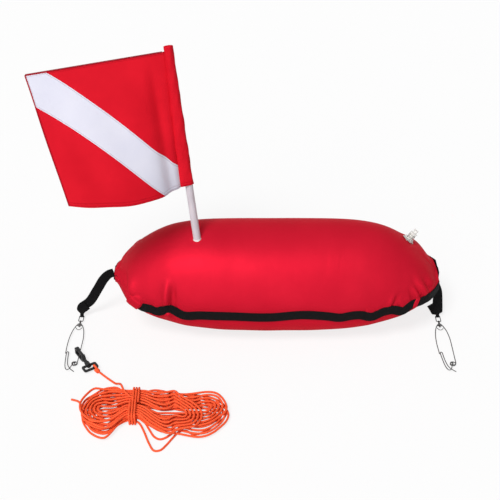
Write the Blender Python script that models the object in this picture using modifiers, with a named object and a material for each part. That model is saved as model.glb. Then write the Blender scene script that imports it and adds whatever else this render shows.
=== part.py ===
"""Dive flag float: an inflated nylon float with a dive flag, towing clips and a hank of line."""

import math

import bmesh
import bpy
from mathutils import Matrix, Vector

# Metres, +Z up. Origin: the flat under the float's middle. +X: the valve end. +Y: the back.
# Places along are from the float's left tip, and the valve's and the right clip's from its right tip.

# Fits between pieces
SEAT_GAP = 0.0003  # between pieces that touch
RUNNING_GAP = 0.0003  # round a piece that turns or slides
CUT_OVERRUN = 0.002  # how far every cutter runs past what it cuts

# Float body: a pillow of two panels, pointed in plan and flat where it rests
HALF_LENGTH = 0.402  # where the plan outline would close
END_SHARE = 0.985  # the end seam, as a share of HALF_LENGTH
HALF_WIDTH = 0.148
SEAM_HEIGHT = 0.0865  # of the side seam, at mid length
SEAM_RISE = 0.033  # of the seam from mid length to the tips
TOP_RISE = 0.160  # ridge over the seam
BELLY_DROP = 0.093  # round belly under the seam, cut off by the flat at zero
TIP_RISE = 0.004  # half height that the end seam keeps
PLAN_POWER = 2.6
SEAM_POWER = 3.0
RIDGE_POWERS = (5.0, 1.4)
BELLY_POWERS = (4.0, 0.8)
COVER_THICKNESS = 0.001
BLADDER_THICKNESS = 0.001
WAVE_HEIGHT = 0.011  # how far the seam puckers up or down
# Puckers of the side seam: middle and width as shares of HALF_LENGTH, height as a share of WAVE_HEIGHT
SEAM_WAVE_SHARES = (
    (-0.80, 0.07, -0.30),
    (-0.65, 0.05, 1.0),
    (0.15, 0.07, 0.30),
    (0.42, 0.06, -0.40),
    (0.58, 0.05, -0.55),
    (0.70, 0.05, 0.80),
)
BODY_ROWS = 40
BODY_COLUMNS = 7  # in each panel

# Webbing
WEBBING_WIDTH = 0.025
WEBBING_THICKNESS = 0.0015

# Pole and its socket
POLE_PLACE = (0.20697, -0.034)  # along and across, where the pole's axis leaves the float
POLE_STAND = -0.004325  # from the round of the cover there up to the pole's base
POLE_LEAN = (-0.125, 0.2563, 0.9585)  # left and back
POLE_RADIUS = 0.009
POLE_WALL = 0.0015
POLE_LENGTH = 0.4555  # above the float
SOCKET_DEPTH = 0.100
SOCKET_WALL = 0.0015
SOCKET_LIP = 0.003  # that the socket stands out of the cover
PLUG_LENGTH = 0.012
CAP_HEAD = 0.003
POLE_SIDES = 20

# Flag
FLAG_HOIST = 0.310
FLAG_DROP = 0.008  # from the pole's top down to the top edge of the fields
FLY_TOP = (-0.3085, -0.039, -0.038)  # top edge, hoist to fly
FLY_BOTTOM = (-0.2350, -0.1400, 0.0370)  # chord of the bottom edge
FLAG_CURL = 0.045  # how far the lower cloth bellies towards the front
CURL_FACING = (0.1, -1.0, 0.0)
CURL_POWER = 0.75  # under 1, it bellies out nearer the sleeve than the fly
CLOTH_THICKNESS = 0.0008
STRIPE_HOIST_SHARE = 0.165  # of the hoist, below which the stripe reaches the sleeve
STRIPE_FLY_SHARE = 0.76  # of the hoist, above which the stripe reaches the fly
STRIPE_TOP_SHARE = 0.85  # of the top edge that is red
STRIPE_BOTTOM_SHARE = 0.14  # of the bottom edge that is red at the hoist
SLEEVE_SLACK_TOP = 0.001
SLEEVE_SLACK_BOTTOM = 0.012
STIFFENER_RADIUS = 0.0012
HEM_DEPTH = 0.007
HEM_START_SHARE = 0.012
HEM_END_SHARE = 0.992
FLAG_SEAM_CORNER = 0.004  # of the hoist, cut off a panel's sharp corner
FLAG_ROWS = 12
FLAG_COLUMNS = 9

# Valve, along its own axis from the cover outwards
VALVE_PLACE = (-0.07397, 0.030)  # along and across the float
VALVE_FLANGE_RADIUS = 0.0155
VALVE_FLANGE_THICKNESS = 0.0015
VALVE_NECK_RADIUS = 0.0075
VALVE_BORE_RADIUS = 0.0050
VALVE_NECK_HEIGHT = 0.018
VALVE_TAIL_LENGTH = 0.012  # inside the bladder
VALVE_COLLAR_RADIUS = 0.0120
VALVE_COLLAR_HEIGHT = 0.0045
VALVE_CAP_WALL = 0.0013
VALVE_CAP_SKIRT = 0.007  # how far the cap's skirt reaches down the neck
VALVE_CAP_HEAD = 0.014  # over the neck's end
VALVE_CAP_TOP_SHARE = 0.62  # of the cap's radius, above its shoulder
VALVE_FLAP_THICKNESS = 0.0008
VALVE_SIDES = 24

# Straps, from the float's tip to the swivel. Each place is a share of the way along, across and down,
# with a share of the outward bow; then which way the strap's width points.
STRAP_BOW = 0.016
STRAP_SHARES_LEFT = (
    ((0.0, 0.0, 0.0, 0.0), (0.0, 0.0, 1.0)),
    ((0.14, 0.05, 0.03, 0.0), (0.12, 0.0, 1.0)),
    ((0.30, 0.16, 0.14, 0.0), (0.50, 0.0, 0.85)),
    ((0.50, 0.36, 0.38, 0.0), (0.75, -0.05, 0.66)),
    ((0.74, 0.60, 0.66, 0.0), (0.80, 0.0, 0.60)),
)
STRAP_SHARES_RIGHT = (
    ((0.0, 0.0, 0.0, 0.0), (0.0, 1.0, 0.0)),
    ((0.0, 0.0, 0.10, 0.0), (0.0, 1.0, 0.0)),
    ((0.0, 0.0, 0.19, 0.0), (0.0, 1.0, 0.0)),
    ((0.02, 0.02, 0.26, 0.01), (0.04, 1.0, 0.0)),
    ((0.20, 0.12, 0.38, 0.10), (0.45, 0.88, 0.0)),
    ((0.45, 0.28, 0.52, 0.12), (0.87, 0.50, 0.0)),
    ((0.75, 0.50, 0.68, 0.0), (1.0, 0.10, 0.0)),
)
STRAP_ARRIVAL = (0.0, -0.45, -0.89)  # the strap's direction where it meets the swivel's eye
STRAP_BUNCH_WIDTH = 0.0075  # where the strap is gathered in the swivel's eye
STRAP_BUNCH_LENGTH = 0.005
STRAP_GATHER_LENGTH = 0.016  # over which it narrows
STRAP_TURN_BACK = 0.034  # length of the end that is folded back and sewn
STRAP_STITCH_GAP = 0.0006  # between the two layers
STRAP_PATCH = 0.009  # how far above the seam the right strap is sewn on
STRAP_SWING_GAP = 0.0009  # between the left strap and the webbing, for its corners to turn in
STRAP_TURN_POINTS = 8
STRAP_STEPS = 5  # rows between two places

# Swivel and clip, in the clip's own plane: (across, along) from the top of its wire
CLIP_TOP_LEFT = (-0.08903, -0.064)
CLIP_TOP_RIGHT = (0.00853, -0.065)
CLIP_TURN_LEFT = math.radians(-2)
CLIP_TURN_RIGHT = 0.0
CLIP_WIRE_RADIUS = 0.0011
CLIP_LENGTH = 0.171
CLIP_HALF_WIDTH = 0.0178
COIL_RADIUS = 0.0065  # of the wire's middle
COIL_PITCH = 0.0026
COIL_TURNS = 1.75
COIL_POINTS = 10  # a turn
COIL_PLACE_SHARE = 0.836  # of CLIP_LENGTH
BEAD_RADIUS = 0.0030  # swelling of the wire that the stem turns in
STEM_RADIUS = 0.0013
KNOB_RADIUS = 0.0028
EYE_WIRE_RADIUS = 0.0011
EYE_LENGTH = 0.020
EYE_HALF_WIDTH = 0.0055
EYE_DISTANCE = 0.033  # from the clip's top to the strap's fold
GUARD_RADIUS = 0.0008
GUARD_SAG = 0.008
GUARD_START = 0.0125  # from the clip's top to the guard's ends
GUARD_HALF_WIDTH = 0.0078
GUARD_POINTS = 8
EYE_CORNER = 0.0016
EYE_SIDES = 12
SHOULDER_RADIUS = 0.0022
# Clip wire: across as shares of CLIP_HALF_WIDTH, along as shares of CLIP_LENGTH
FRAME_LEFT_SHARES = (
    (-0.905, 0.640),
    (-0.905, 0.600),
    (-0.935, 0.545),
    (-0.965, 0.435),
    (-0.925, 0.290),
    (-0.760, 0.150),
    (-0.590, 0.080),
    (-0.430, 0.030),
)
FRAME_TOP_SHARES = ((-0.16, 0.001), (0.0, 0.0), (0.16, 0.001))
FRAME_RIGHT_SHARES = (
    (0.430, 0.030),
    (0.600, 0.080),
    (0.790, 0.150),
    (0.965, 0.290),
    (1.0, 0.440),
    (1.0, 0.740),
)
# Clip arm: across from the coil's middle and along as before, lift as shares of CLIP_WIRE_RADIUS
ARM_SHARES = (
    (-0.062, 0.845, 2.27),
    (-0.185, 0.877, 2.27),
    (-0.326, 0.936, 2.27),
    (-0.466, 0.977, 2.27),
    (-0.719, 0.997, 2.00),
    (-1.000, 0.965, 1.64),
    (-1.197, 0.877, 1.09),
    (-1.320, 0.760, 0.55),
    (-1.399, 0.655, 0.0),
    (-1.399, 0.623, 0.0),
    (-1.264, 0.606, 0.0),
    (-1.129, 0.623, 0.0),
    (-1.107, 0.655, 0.0),
    (-1.017, 0.766, 0.18),
    (-0.837, 0.877, 0.36),
    (-0.579, 0.930, -0.55),
    (-0.354, 0.959, -1.09),
    (0.152, 1.006, -1.36),
)

# Snap hook, along its own axis from where the clip's wire passes through its eye
HOOK_DIRECTION = (0.549, -0.835)
HOOK_WIRE_SHARE = 0.655  # of CLIP_LENGTH, where the hook hangs on the clip's wire
HOOK_THICKNESS = 0.0090
HOOK_EYE_LENGTH = 0.030
HOOK_EYE_HEIGHT = 0.011
HOOK_NOSE_RUN = 0.0098  # from the wire to the eye's closed end
HOOK_NOSE_WALL = 0.0055
HOOK_SPINE = 0.0038
HOOK_GATE_HEIGHT = 0.0035
HOOK_GATE_WIDTH = 0.0060
HOOK_GATE_SHARE = 0.66  # of the eye's length
HOOK_EDGE = 0.0008  # rounding
HOOK_CORNER = 0.0030
HOOK_BLOCK_LENGTH = 0.007  # between the eye and the shank
HOOK_SHANK_RADIUS = 0.0045
HOOK_SHANK_LENGTH = 0.019
HOOK_PIN_RADIUS = 0.0022
HOOK_PIN_HEAD_RADIUS = 0.0034
HOOK_PIN_HEAD_LENGTH = 0.0020
LOOP_BARREL_RADIUS = 0.0060
LOOP_BARREL_LENGTH = 0.0080
LOOP_WIDTH = 0.037
LOOP_THICKNESS = 0.0040
LOOP_BAR = 0.0055
SLOT_LENGTH = 0.0270
SLOT_HEIGHT = 0.0100
LOOP_CORNER = 0.0050
SLOT_CORNER = 0.0020

# Line
ROPE_RADIUS = 0.0025
ROPE_GAP = 0.0009  # between layers and turns
KNOT_RADIUS = 0.0056
KNOT_CORNER = 0.0030
KNOT_REACH = 0.008  # of the loop past the bar's middle
KNOT_LUMP = 0.0125  # from the bar's middle to the lump's
KNOT_SIDE_SHARE = 0.32  # of the slot's length, from its middle to the knot
HANK_LEFT = -0.04403
HANK_RIGHT = 0.28397
HANK_MIDDLE = -0.378  # across, of the lobes
HANK_WAIST = 0.07397  # along, where it is tied
HANK_WAIST_SHIFT = 0.012  # of the waist towards the back
HANK_LOBE_LEFT = 0.074
HANK_LOBE_RIGHT = 0.060
HANK_WAIST_HALF_WIDTH = 0.0385
HANK_WAIST_FLAT = 0.013  # half length of the waist
HANK_WAIST_REACH = 0.058  # from the waist's middle to the full lobes
HANK_LAYERS = 4
LOOPS_IN_LAYER = 5
HANK_CORE = 0.25  # of a loop's step, left open in the middle
LOOP_STEP = 0.0085  # between loops at the hank's ends
# Stations of a loop's run from the hank's left end to its right end
RUN_SHARES = (0.0, 0.02, 0.08, 0.18, 0.275, 0.32, 0.396, 0.455, 0.58, 0.76, 0.90, 0.975)
# Slack loops on the front: turn, start and end along, how far they reach
HANK_SLACK = ((0, 0.07397, 0.18797, 0.062), (1, 0.08397, 0.18997, 0.038), (0, 0.18097, 0.25597, 0.018))
SLACK_SHARES = (0.0, 0.02, 0.08, 0.18, 0.275, 0.32, 0.36, 0.40, 0.44, 0.48, 0.52, 0.56, 0.60, 0.64, 0.68)
SLACK_SHARES_REST = (0.72, 0.78, 0.85, 0.92, 0.975)
HALF_RUN = 0.25  # of a turn, from a loop's end to the middle of its run
HANK_LAST_SHARE = 0.275  # station where the last turn's run leaves for the tie
HANK_LAST_TURN = 0.13  # of a turn, over which it moves in
HANK_LAST_DEPTH = 2.25  # loops in from the outside, where the last turn ends on top
TIE_TURNS = 3
CORNER_POINTS = 4
# Places that the line passes through
LEAD_ROUTE = (
    (-0.00603, -0.2540, 0.0050),
    (0.01097, -0.2680, 0.0030),
    (0.02597, -0.2790, 0.0070),
    (0.03697, -0.2930, 0.0200),
    (0.04297, -0.3120, 0.0315),
    (0.04897, -0.3330, 0.0327),
)
LEAD_END_ACROSS = -0.3520
TAIL_ROUTE = ((-0.04653, -0.3540, 0.0025), (-0.05603, -0.3370, 0.0025), (-0.07203, -0.3300, 0.0025))

COLLECTION_NAME = "dive_flag_float"
CUTTERS_NAME = "cutters"
WELD = 0.00001

# Each look: colour, roughness, metallic, transmission
LOOKS = {
    "nylon": ((0.62, 0.012, 0.030), 0.50, 0.0, 0.0),
    "bladder": ((0.75, 0.75, 0.72), 0.40, 0.0, 0.0),
    "webbing": ((0.012, 0.012, 0.012), 0.75, 0.0, 0.0),
    "tube": ((0.78, 0.76, 0.72), 0.35, 0.0, 0.2),
    "red cloth": ((0.65, 0.010, 0.020), 0.65, 0.0, 0.0),
    "white cloth": ((0.80, 0.80, 0.82), 0.65, 0.0, 0.0),
    "clear": ((0.85, 0.85, 0.82), 0.15, 0.0, 0.6),
    "steel": ((0.45, 0.45, 0.44), 0.30, 1.0, 0.0),
    "black plastic": ((0.015, 0.015, 0.015), 0.40, 0.0, 0.0),
    "rope": ((0.85, 0.14, 0.03), 0.70, 0.0, 0.0),
}


def clear_scene():
    for item in list(bpy.data.objects):
        bpy.data.objects.remove(item, do_unlink=True)


def new_collection(name):
    collection = bpy.data.collections.new(name)
    bpy.context.scene.collection.children.link(collection)
    return collection


def add_material(item, look):
    colour, roughness, metallic, transmission = LOOKS[look]
    material = bpy.data.materials.new(item.name)
    material.use_nodes = True
    shader = material.node_tree.nodes["Principled BSDF"]
    shader.inputs["Base Color"].default_value = (*colour, 1.0)
    shader.inputs["Roughness"].default_value = roughness
    shader.inputs["Metallic"].default_value = metallic
    shader.inputs["Transmission Weight"].default_value = transmission
    item.data.materials.append(material)


def add_object(name, data, look):
    item = bpy.data.objects.new(name, data)
    parts.objects.link(item)
    if look:
        add_material(item, look)
    return item


# Moves an unrotated object's origin to a place, its shape staying where it is
def set_origin(item, place):
    item.data.transform(Matrix.Translation(-Vector(place)))
    item.location = place


def aim(item, base, axis):
    item.location = base
    item.rotation_euler = Vector(axis).to_track_quat("Z", "Y").to_euler()


# An empty on a piece's hinge, which carries the piece
def add_pivot(item, place):
    pivot = bpy.data.objects.new(item.name + "_hinge", None)
    parts.objects.link(pivot)
    pivot.location = place
    item.parent = pivot
    item.matrix_parent_inverse = Matrix.Translation(-Vector(place))


# A sheet of faces through rows of points; its ends can be closed, and its rows can run all round
def sheet_mesh(name, rows, first_end=False, last_end=False, around=False):
    columns = len(rows[0])
    vertices = [tuple(point) for row in rows for point in row]
    faces = []
    for row in range(len(rows) - 1):
        for column in range(columns if around else columns - 1):
            start = row * columns
            after = (column + 1) % columns
            faces.append((start + column, start + columns + column, start + columns + after, start + after))
    if first_end:
        faces.append(tuple(range(columns)))
    if last_end:
        faces.append(tuple(reversed(range(len(vertices) - columns, len(vertices)))))
    mesh = bpy.data.meshes.new(name)
    mesh.from_pydata(vertices, [], faces)
    mesh.update()
    return mesh


def smooth_shading(item, angle=math.radians(40)):
    item.data.shade_smooth()
    item.data.set_sharp_from_angle(angle=angle)


# Offset -1 thickens inwards, 0 to both sides, 1 outwards
def thicken(item, thickness, offset):
    modifier = item.modifiers.new("thickness", "SOLIDIFY")
    modifier.thickness = thickness
    modifier.offset = offset
    modifier.use_even_offset = True
    modifier.use_quality_normals = True


# A turned shape: (radius, height) points down its outer side, about an axis from a base
def turned(name, profile, base, axis, sides, look, ring=False):
    mesh = bpy.data.meshes.new(name)
    edges = [(index, index + 1) for index in range(len(profile) - 1)]
    if ring:
        edges.append((len(profile) - 1, 0))
    mesh.from_pydata([(radius, 0, height) for radius, height in profile], edges, [])
    item = add_object(name, mesh, look)
    modifier = item.modifiers.new("turn", "SCREW")
    modifier.steps = sides
    modifier.render_steps = sides
    modifier.use_merge_vertices = True
    modifier.merge_threshold = WELD
    modifier.use_smooth_shade = True
    aim(item, base, axis)
    return item


# A round wire or cord through points; widths are shares of the radius
def wire(name, points, radius, look, resolution=2, cyclic=False, widths=None):
    curve = bpy.data.curves.new(name, "CURVE")
    curve.dimensions = "3D"
    curve.bevel_depth = radius
    curve.bevel_resolution = resolution
    curve.use_fill_caps = not cyclic
    spline = curve.splines.new("POLY")
    spline.points.add(len(points) - 1)
    for knot, place in zip(spline.points, points):
        knot.co = (*place, 1.0)
    if widths:
        for knot, width in zip(spline.points, widths):
            knot.radius = width
    spline.use_cyclic_u = cyclic
    return add_object(name, curve, look)


# A curve object made a mesh, its caps welded
def as_mesh(item, look):
    name = item.name
    item.name = name + " curve"
    bpy.context.view_layer.update()
    graph = bpy.context.evaluated_depsgraph_get()
    mesh = bpy.data.meshes.new_from_object(item.evaluated_get(graph))
    shell = bmesh.new()
    shell.from_mesh(mesh)
    bmesh.ops.remove_doubles(shell, verts=shell.verts, dist=WELD)
    shell.to_mesh(mesh)
    shell.free()
    mesh.materials.clear()
    result = add_object(name, mesh, look)
    result.matrix_world = item.matrix_world
    bpy.data.objects.remove(item)
    return result


# A flat outline of the given thickness, in the plane of two directions through a base
def plate(name, outlines, thickness, base, right, up, look):
    curve = bpy.data.curves.new(name, "CURVE")
    curve.dimensions = "2D"
    curve.fill_mode = "BOTH"
    curve.extrude = thickness / 2
    for outline in outlines:
        spline = curve.splines.new("POLY")
        spline.points.add(len(outline) - 1)
        for knot, place in zip(spline.points, outline):
            knot.co = (*place, 0, 1.0)
        spline.use_cyclic_u = True
    item = add_object(name, curve, None)
    facing = right.cross(up)
    turn = Matrix((right, up, facing)).transposed().to_4x4()
    item.matrix_world = Matrix.Translation(base) @ turn
    return as_mesh(item, look)


def combine(item, tool, operation):
    modifier = item.modifiers.new(tool.name, "BOOLEAN")
    modifier.operation = operation
    modifier.solver = "EXACT"
    modifier.object = tool
    tool.hide_render = True
    tool.display_type = "WIRE"
    if tool.name not in cutters.objects:
        parts.objects.unlink(tool)
        cutters.objects.link(tool)


def bevel(item, width):
    modifier = item.modifiers.new("edges", "BEVEL")
    modifier.width = width
    modifier.segments = 1
    modifier.limit_method = "ANGLE"
    modifier.angle_limit = math.radians(40)


# Points of a smooth curve through places, with a number of steps between two places
def smooth(places, steps, cyclic=False):
    places = [Vector(place) for place in places]
    count = len(places)
    points = []
    for index in range(count if cyclic else count - 1):
        if cyclic:
            before, start, end, after = (places[(index + shift) % count] for shift in (-1, 0, 1, 2))
        else:
            start, end = places[index], places[index + 1]
            before = places[index - 1] if index else start + (start - end)
            after = places[index + 2] if index + 2 < count else end + (end - start)
        for step in range(steps):
            share = step / steps
            points.append(
                0.5
                * (
                    2 * start
                    + share * (end - before)
                    + share**2 * (2 * before - 5 * start + 4 * end - after)
                    + share**3 * (3 * start - before - 3 * end + after)
                )
            )
    if not cyclic:
        points.append(places[-1])
    return points


def ease(share):
    share = max(0.0, min(1.0, share))
    return share * share * (3 - 2 * share)


# Float body


def seam_wave(signed):
    return sum(
        height * math.exp(-(((signed - middle) / reach) ** 2)) for middle, reach, height in SEAM_WAVE_SHARES
    )


# Half width, seam height, rise over the seam and belly under it
def section(along):
    signed = max(-END_SHARE, min(END_SHARE, along / HALF_LENGTH))
    share = abs(signed)
    half_width = HALF_WIDTH * (1 - share**PLAN_POWER) ** (1 / PLAN_POWER)
    seam = SEAM_HEIGHT + SEAM_RISE * share**SEAM_POWER + WAVE_HEIGHT * seam_wave(signed)
    top = TOP_RISE * (1 - share ** RIDGE_POWERS[0]) ** RIDGE_POWERS[1] + TIP_RISE
    belly = BELLY_DROP * (1 - share ** BELLY_POWERS[0]) ** BELLY_POWERS[1] + TIP_RISE
    return half_width, seam, top, belly


# Angle 0 is the front seam, a quarter turn the ridge, a half turn the back seam
def surface_point(along, angle):
    half_width, seam, top, belly = section(along)
    rise = top if math.sin(angle) > 0 else belly
    height = max(0.0, seam + rise * math.sin(angle))
    return Vector((along, -half_width * math.cos(angle), height))


# How far along a tip is, side -1 the left one and 1 the right one
def tip(side):
    return side * END_SHARE * HALF_LENGTH


def stations():
    return [tip(1) * math.sin(math.pi * (index / BODY_ROWS - 0.5)) for index in range(BODY_ROWS + 1)]


# A panel's edge, trimmed back along the panel so that its thickness stays clear of the other panel's
def trimmed(edge, inner):
    run = inner - edge
    length = (SEAT_GAP / 2 * run.length + COVER_THICKNESS * abs(run.y)) / abs(run.z)
    return edge + run.normalized() * length


def cover_panel(name, first_angle):
    rows = []
    for along in stations():
        row = []
        for column in range(BODY_COLUMNS + 1):
            angle = first_angle + math.pi * column / BODY_COLUMNS
            row.append(surface_point(along, angle))
        row[0], row[-1] = trimmed(row[0], row[1]), trimmed(row[-1], row[-2])
        rows.append(row)
    item = add_object(name, sheet_mesh(name, rows, True, True), "nylon")
    thicken(item, COVER_THICKNESS, -1)
    return item


def air_chamber(name):
    rows = []
    for along in stations():
        angles = (math.pi * column / BODY_COLUMNS for column in range(2 * BODY_COLUMNS))
        rows.append([surface_point(along, angle) for angle in angles])
    mesh = sheet_mesh(name, rows, True, True, True)
    shell = bmesh.new()
    shell.from_mesh(mesh)
    shell.normal_update()
    depth = COVER_THICKNESS + SEAT_GAP
    moves = [(vertex, -vertex.normal * vertex.calc_shell_factor() * depth) for vertex in shell.verts]
    for vertex, move in moves:
        vertex.co += move
    shell.to_mesh(mesh)
    shell.free()
    item = add_object(name, mesh, "bladder")
    thicken(item, BLADDER_THICKNESS, -1)
    return item


# Side -1 is the front, 1 the back; the strip's ends meet the other strip's at the tips
def edge_webbing(name, side):
    end = tip(1)
    half_width, seam = section(end)[:2]
    outline = [(-end, side * SEAT_GAP / 2, section(-end)[1])]
    for along in stations():
        half_width, seam = section(along)[:2]
        outline.append((along, side * half_width, seam))
    outline.append((end, side * SEAT_GAP / 2, seam))
    if side > 0:
        outline.reverse()
    outline = [Vector(point) for point in outline]
    rows = []
    for index, point in enumerate(outline):
        ahead = outline[min(index + 1, len(outline) - 1)] - point
        behind = point - outline[max(index - 1, 0)]
        normals = [Vector((run.y, -run.x)).normalized() for run in (behind, ahead) if run.xy.length > 0]
        facing = sum(normals, Vector((0, 0))).normalized()
        place = point.xy + facing * SEAT_GAP / facing.dot(normals[0])
        low = Vector((*place, point.z - WEBBING_WIDTH / 2))
        rows.append([low, low + Vector((0, 0, WEBBING_WIDTH))])
    item = add_object(name, sheet_mesh(name, rows), "webbing")
    thicken(item, WEBBING_THICKNESS, 1)
    return item


# Pole and flag


def pole_base():
    along, across = tip(-1) + POLE_PLACE[0], POLE_PLACE[1]
    angle = math.acos(-across / section(along)[0])
    return surface_point(along, angle) + Vector((0, 0, POLE_STAND))


def pole_point(distance):
    return pole_base() + Vector(POLE_LEAN).normalized() * distance


def build_pole():
    axis = Vector(POLE_LEAN)
    base = pole_base()
    bore = POLE_RADIUS + RUNNING_GAP
    outer = bore + SOCKET_WALL
    floor = -SOCKET_DEPTH + SOCKET_WALL
    profile = ((0, floor), (bore, floor), (bore, SOCKET_LIP), (outer, SOCKET_LIP), (outer, -SOCKET_DEPTH))
    turned("pole_socket", (*profile, (0, -SOCKET_DEPTH)), base, axis, POLE_SIDES, "bladder")
    low = floor + SEAT_GAP
    inner = POLE_RADIUS - POLE_WALL
    profile = ((POLE_RADIUS, POLE_LENGTH), (POLE_RADIUS, low), (inner, low), (inner, POLE_LENGTH))
    turned("flag_pole", profile, base, axis, POLE_SIDES, "tube", ring=True)
    snug = inner - SEAT_GAP
    profile = ((0, low + PLUG_LENGTH), (snug, low + PLUG_LENGTH), (snug, low), (0, low))
    turned("pole_plug", profile, base, axis, POLE_SIDES, "black plastic")
    foot = POLE_LENGTH + SEAT_GAP
    head = foot + CAP_HEAD
    spigot = POLE_LENGTH - PLUG_LENGTH
    profile = ((0, head), (POLE_RADIUS, head), (POLE_RADIUS, foot), (snug, foot), (snug, spigot), (0, spigot))
    turned("pole_cap", profile, base, axis, POLE_SIDES, "black plastic")


def fly_vector(height):
    return Vector(FLY_BOTTOM).lerp(Vector(FLY_TOP), height)


# Square to the pole, from it towards the fly
def hoist_direction(height):
    axis = Vector(POLE_LEAN).normalized()
    fly = fly_vector(height)
    return (fly - axis * fly.dot(axis)).normalized()


def sleeve_slack(height):
    return SLEEVE_SLACK_BOTTOM * (1 - max(0.0, min(1.0, height)))


# Share 0 is at the sleeve and 1 at the fly; height 0 is the bottom edge and 1 the top edge
def flag_point(share, height):
    distance = POLE_LENGTH - FLAG_DROP - (1 - height) * FLAG_HOIST
    reach = POLE_RADIUS + SLEEVE_SLACK_TOP + sleeve_slack(height) + CLOTH_THICKNESS + SEAT_GAP
    start = pole_point(distance) + hoist_direction(height) * reach
    curl = FLAG_CURL * math.sin(math.pi * share**CURL_POWER) * (1 - height) ** 1.5
    return start + fly_vector(height) * share + Vector(CURL_FACING).normalized() * curl


def stripe_near(height):
    return STRIPE_TOP_SHARE * (height - STRIPE_HOIST_SHARE) / (1 - STRIPE_HOIST_SHARE)


def stripe_far(height):
    return STRIPE_BOTTOM_SHARE + (1 - STRIPE_BOTTOM_SHARE) * height / STRIPE_FLY_SHARE


# A panel of cloth between two bounds that depend on the height
def flag_panel(name, low, high, near, far, look):
    rows = []
    for index in range(FLAG_ROWS + 1):
        height = low + (high - low) * index / FLAG_ROWS
        start, end = near(height), far(height)
        columns = range(FLAG_COLUMNS + 1)
        rows.append([flag_point(start + (end - start) * column / FLAG_COLUMNS, height) for column in columns])
    item = add_object(name, sheet_mesh(name, rows), look)
    thicken(item, CLOTH_THICKNESS, 0)
    smooth_shading(item)
    set_origin(item, pole_base())
    return item


def build_flag():
    axis = Vector(POLE_LEAN).normalized()
    rows = []
    bottom = POLE_LENGTH - FLAG_DROP - FLAG_HOIST
    top = POLE_LENGTH + SEAT_GAP + CAP_HEAD + SEAT_GAP
    for index in range(FLAG_ROWS + 1):
        distance = bottom + (top - bottom) * index / FLAG_ROWS
        height = min(1.0, (distance - bottom) / FLAG_HOIST)
        fly = hoist_direction(height)
        square = axis.cross(fly)
        row = []
        for corner in range(POLE_SIDES):
            angle = -2 * math.pi * corner / POLE_SIDES
            across = (POLE_RADIUS + SLEEVE_SLACK_TOP) * (math.cos(angle) * fly + math.sin(angle) * square)
            slack = max(0.0, math.cos(angle)) * sleeve_slack(height) * fly
            row.append(pole_point(distance) + across + slack)
        rows.append(row)
    item = add_object("flag_sleeve", sheet_mesh("flag_sleeve", rows, False, True, True), "red cloth")
    thicken(item, CLOTH_THICKNESS, 1)
    smooth_shading(item)
    set_origin(item, pole_base())

    trim = 3 * SEAT_GAP / Vector(FLY_TOP).length
    start = STRIPE_HOIST_SHARE + 4 * FLAG_SEAM_CORNER

    def upper_end(height):
        return stripe_near(height) - trim

    def lower_start(height):
        return stripe_far(height) + trim

    flag_panel("flag_field_upper", start, 1, lambda height: 0, upper_end, "red cloth")
    flag_panel(
        "flag_stripe",
        0,
        1,
        lambda height: max(0, stripe_near(height)),
        lambda height: min(1, stripe_far(height)),
        "white cloth",
    )
    end = STRIPE_FLY_SHARE - 4 * FLAG_SEAM_CORNER
    flag_panel("flag_field_lower", 0, end, lower_start, lambda height: 1, "red cloth")

    # The hem wraps the stiffener and both faces of the top edge
    along = Vector(FLY_TOP).normalized()
    inner = STIFFENER_RADIUS + SEAT_GAP
    leg = CLOTH_THICKNESS / 2 + SEAT_GAP
    opening = math.asin(leg / inner)
    rows = []
    rod = []
    for column in range(FLAG_COLUMNS + 1):
        share = HEM_START_SHARE + (HEM_END_SHARE - HEM_START_SHARE) * column / FLAG_COLUMNS
        edge = flag_point(share, 1)
        up = (edge - flag_point(share, 1 - HEM_DEPTH / FLAG_HOIST)).normalized()
        facing = along.cross(up).normalized()
        centre = edge + up * inner
        rod.append(centre)
        row = [edge - up * HEM_DEPTH - facing * leg]
        for step in range(7):
            angle = opening + (2 * math.pi - 2 * opening) * step / 6
            row.append(centre - facing * inner * math.sin(angle) - up * inner * math.cos(angle))
        row.append(edge - up * HEM_DEPTH + facing * leg)
        rows.append(row)
    item = add_object("flag_hem", sheet_mesh("flag_hem", rows), "red cloth")
    thicken(item, CLOTH_THICKNESS, -1)
    set_origin(item, pole_base())
    item = wire("flag_stiffener", rod, STIFFENER_RADIUS, "white cloth")
    set_origin(item, pole_base())


# Valve


def valve_frame():
    along, across = tip(1) + VALVE_PLACE[0], VALVE_PLACE[1]
    half_width = section(along)[0]
    angle = math.acos(-across / half_width)
    step = SEAT_GAP
    place = surface_point(along, angle)
    forward = surface_point(along + step, angle) - surface_point(along - step, angle)
    sideways = surface_point(along, angle + step) - surface_point(along, angle - step)
    return place, forward.cross(sideways).normalized()


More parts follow.
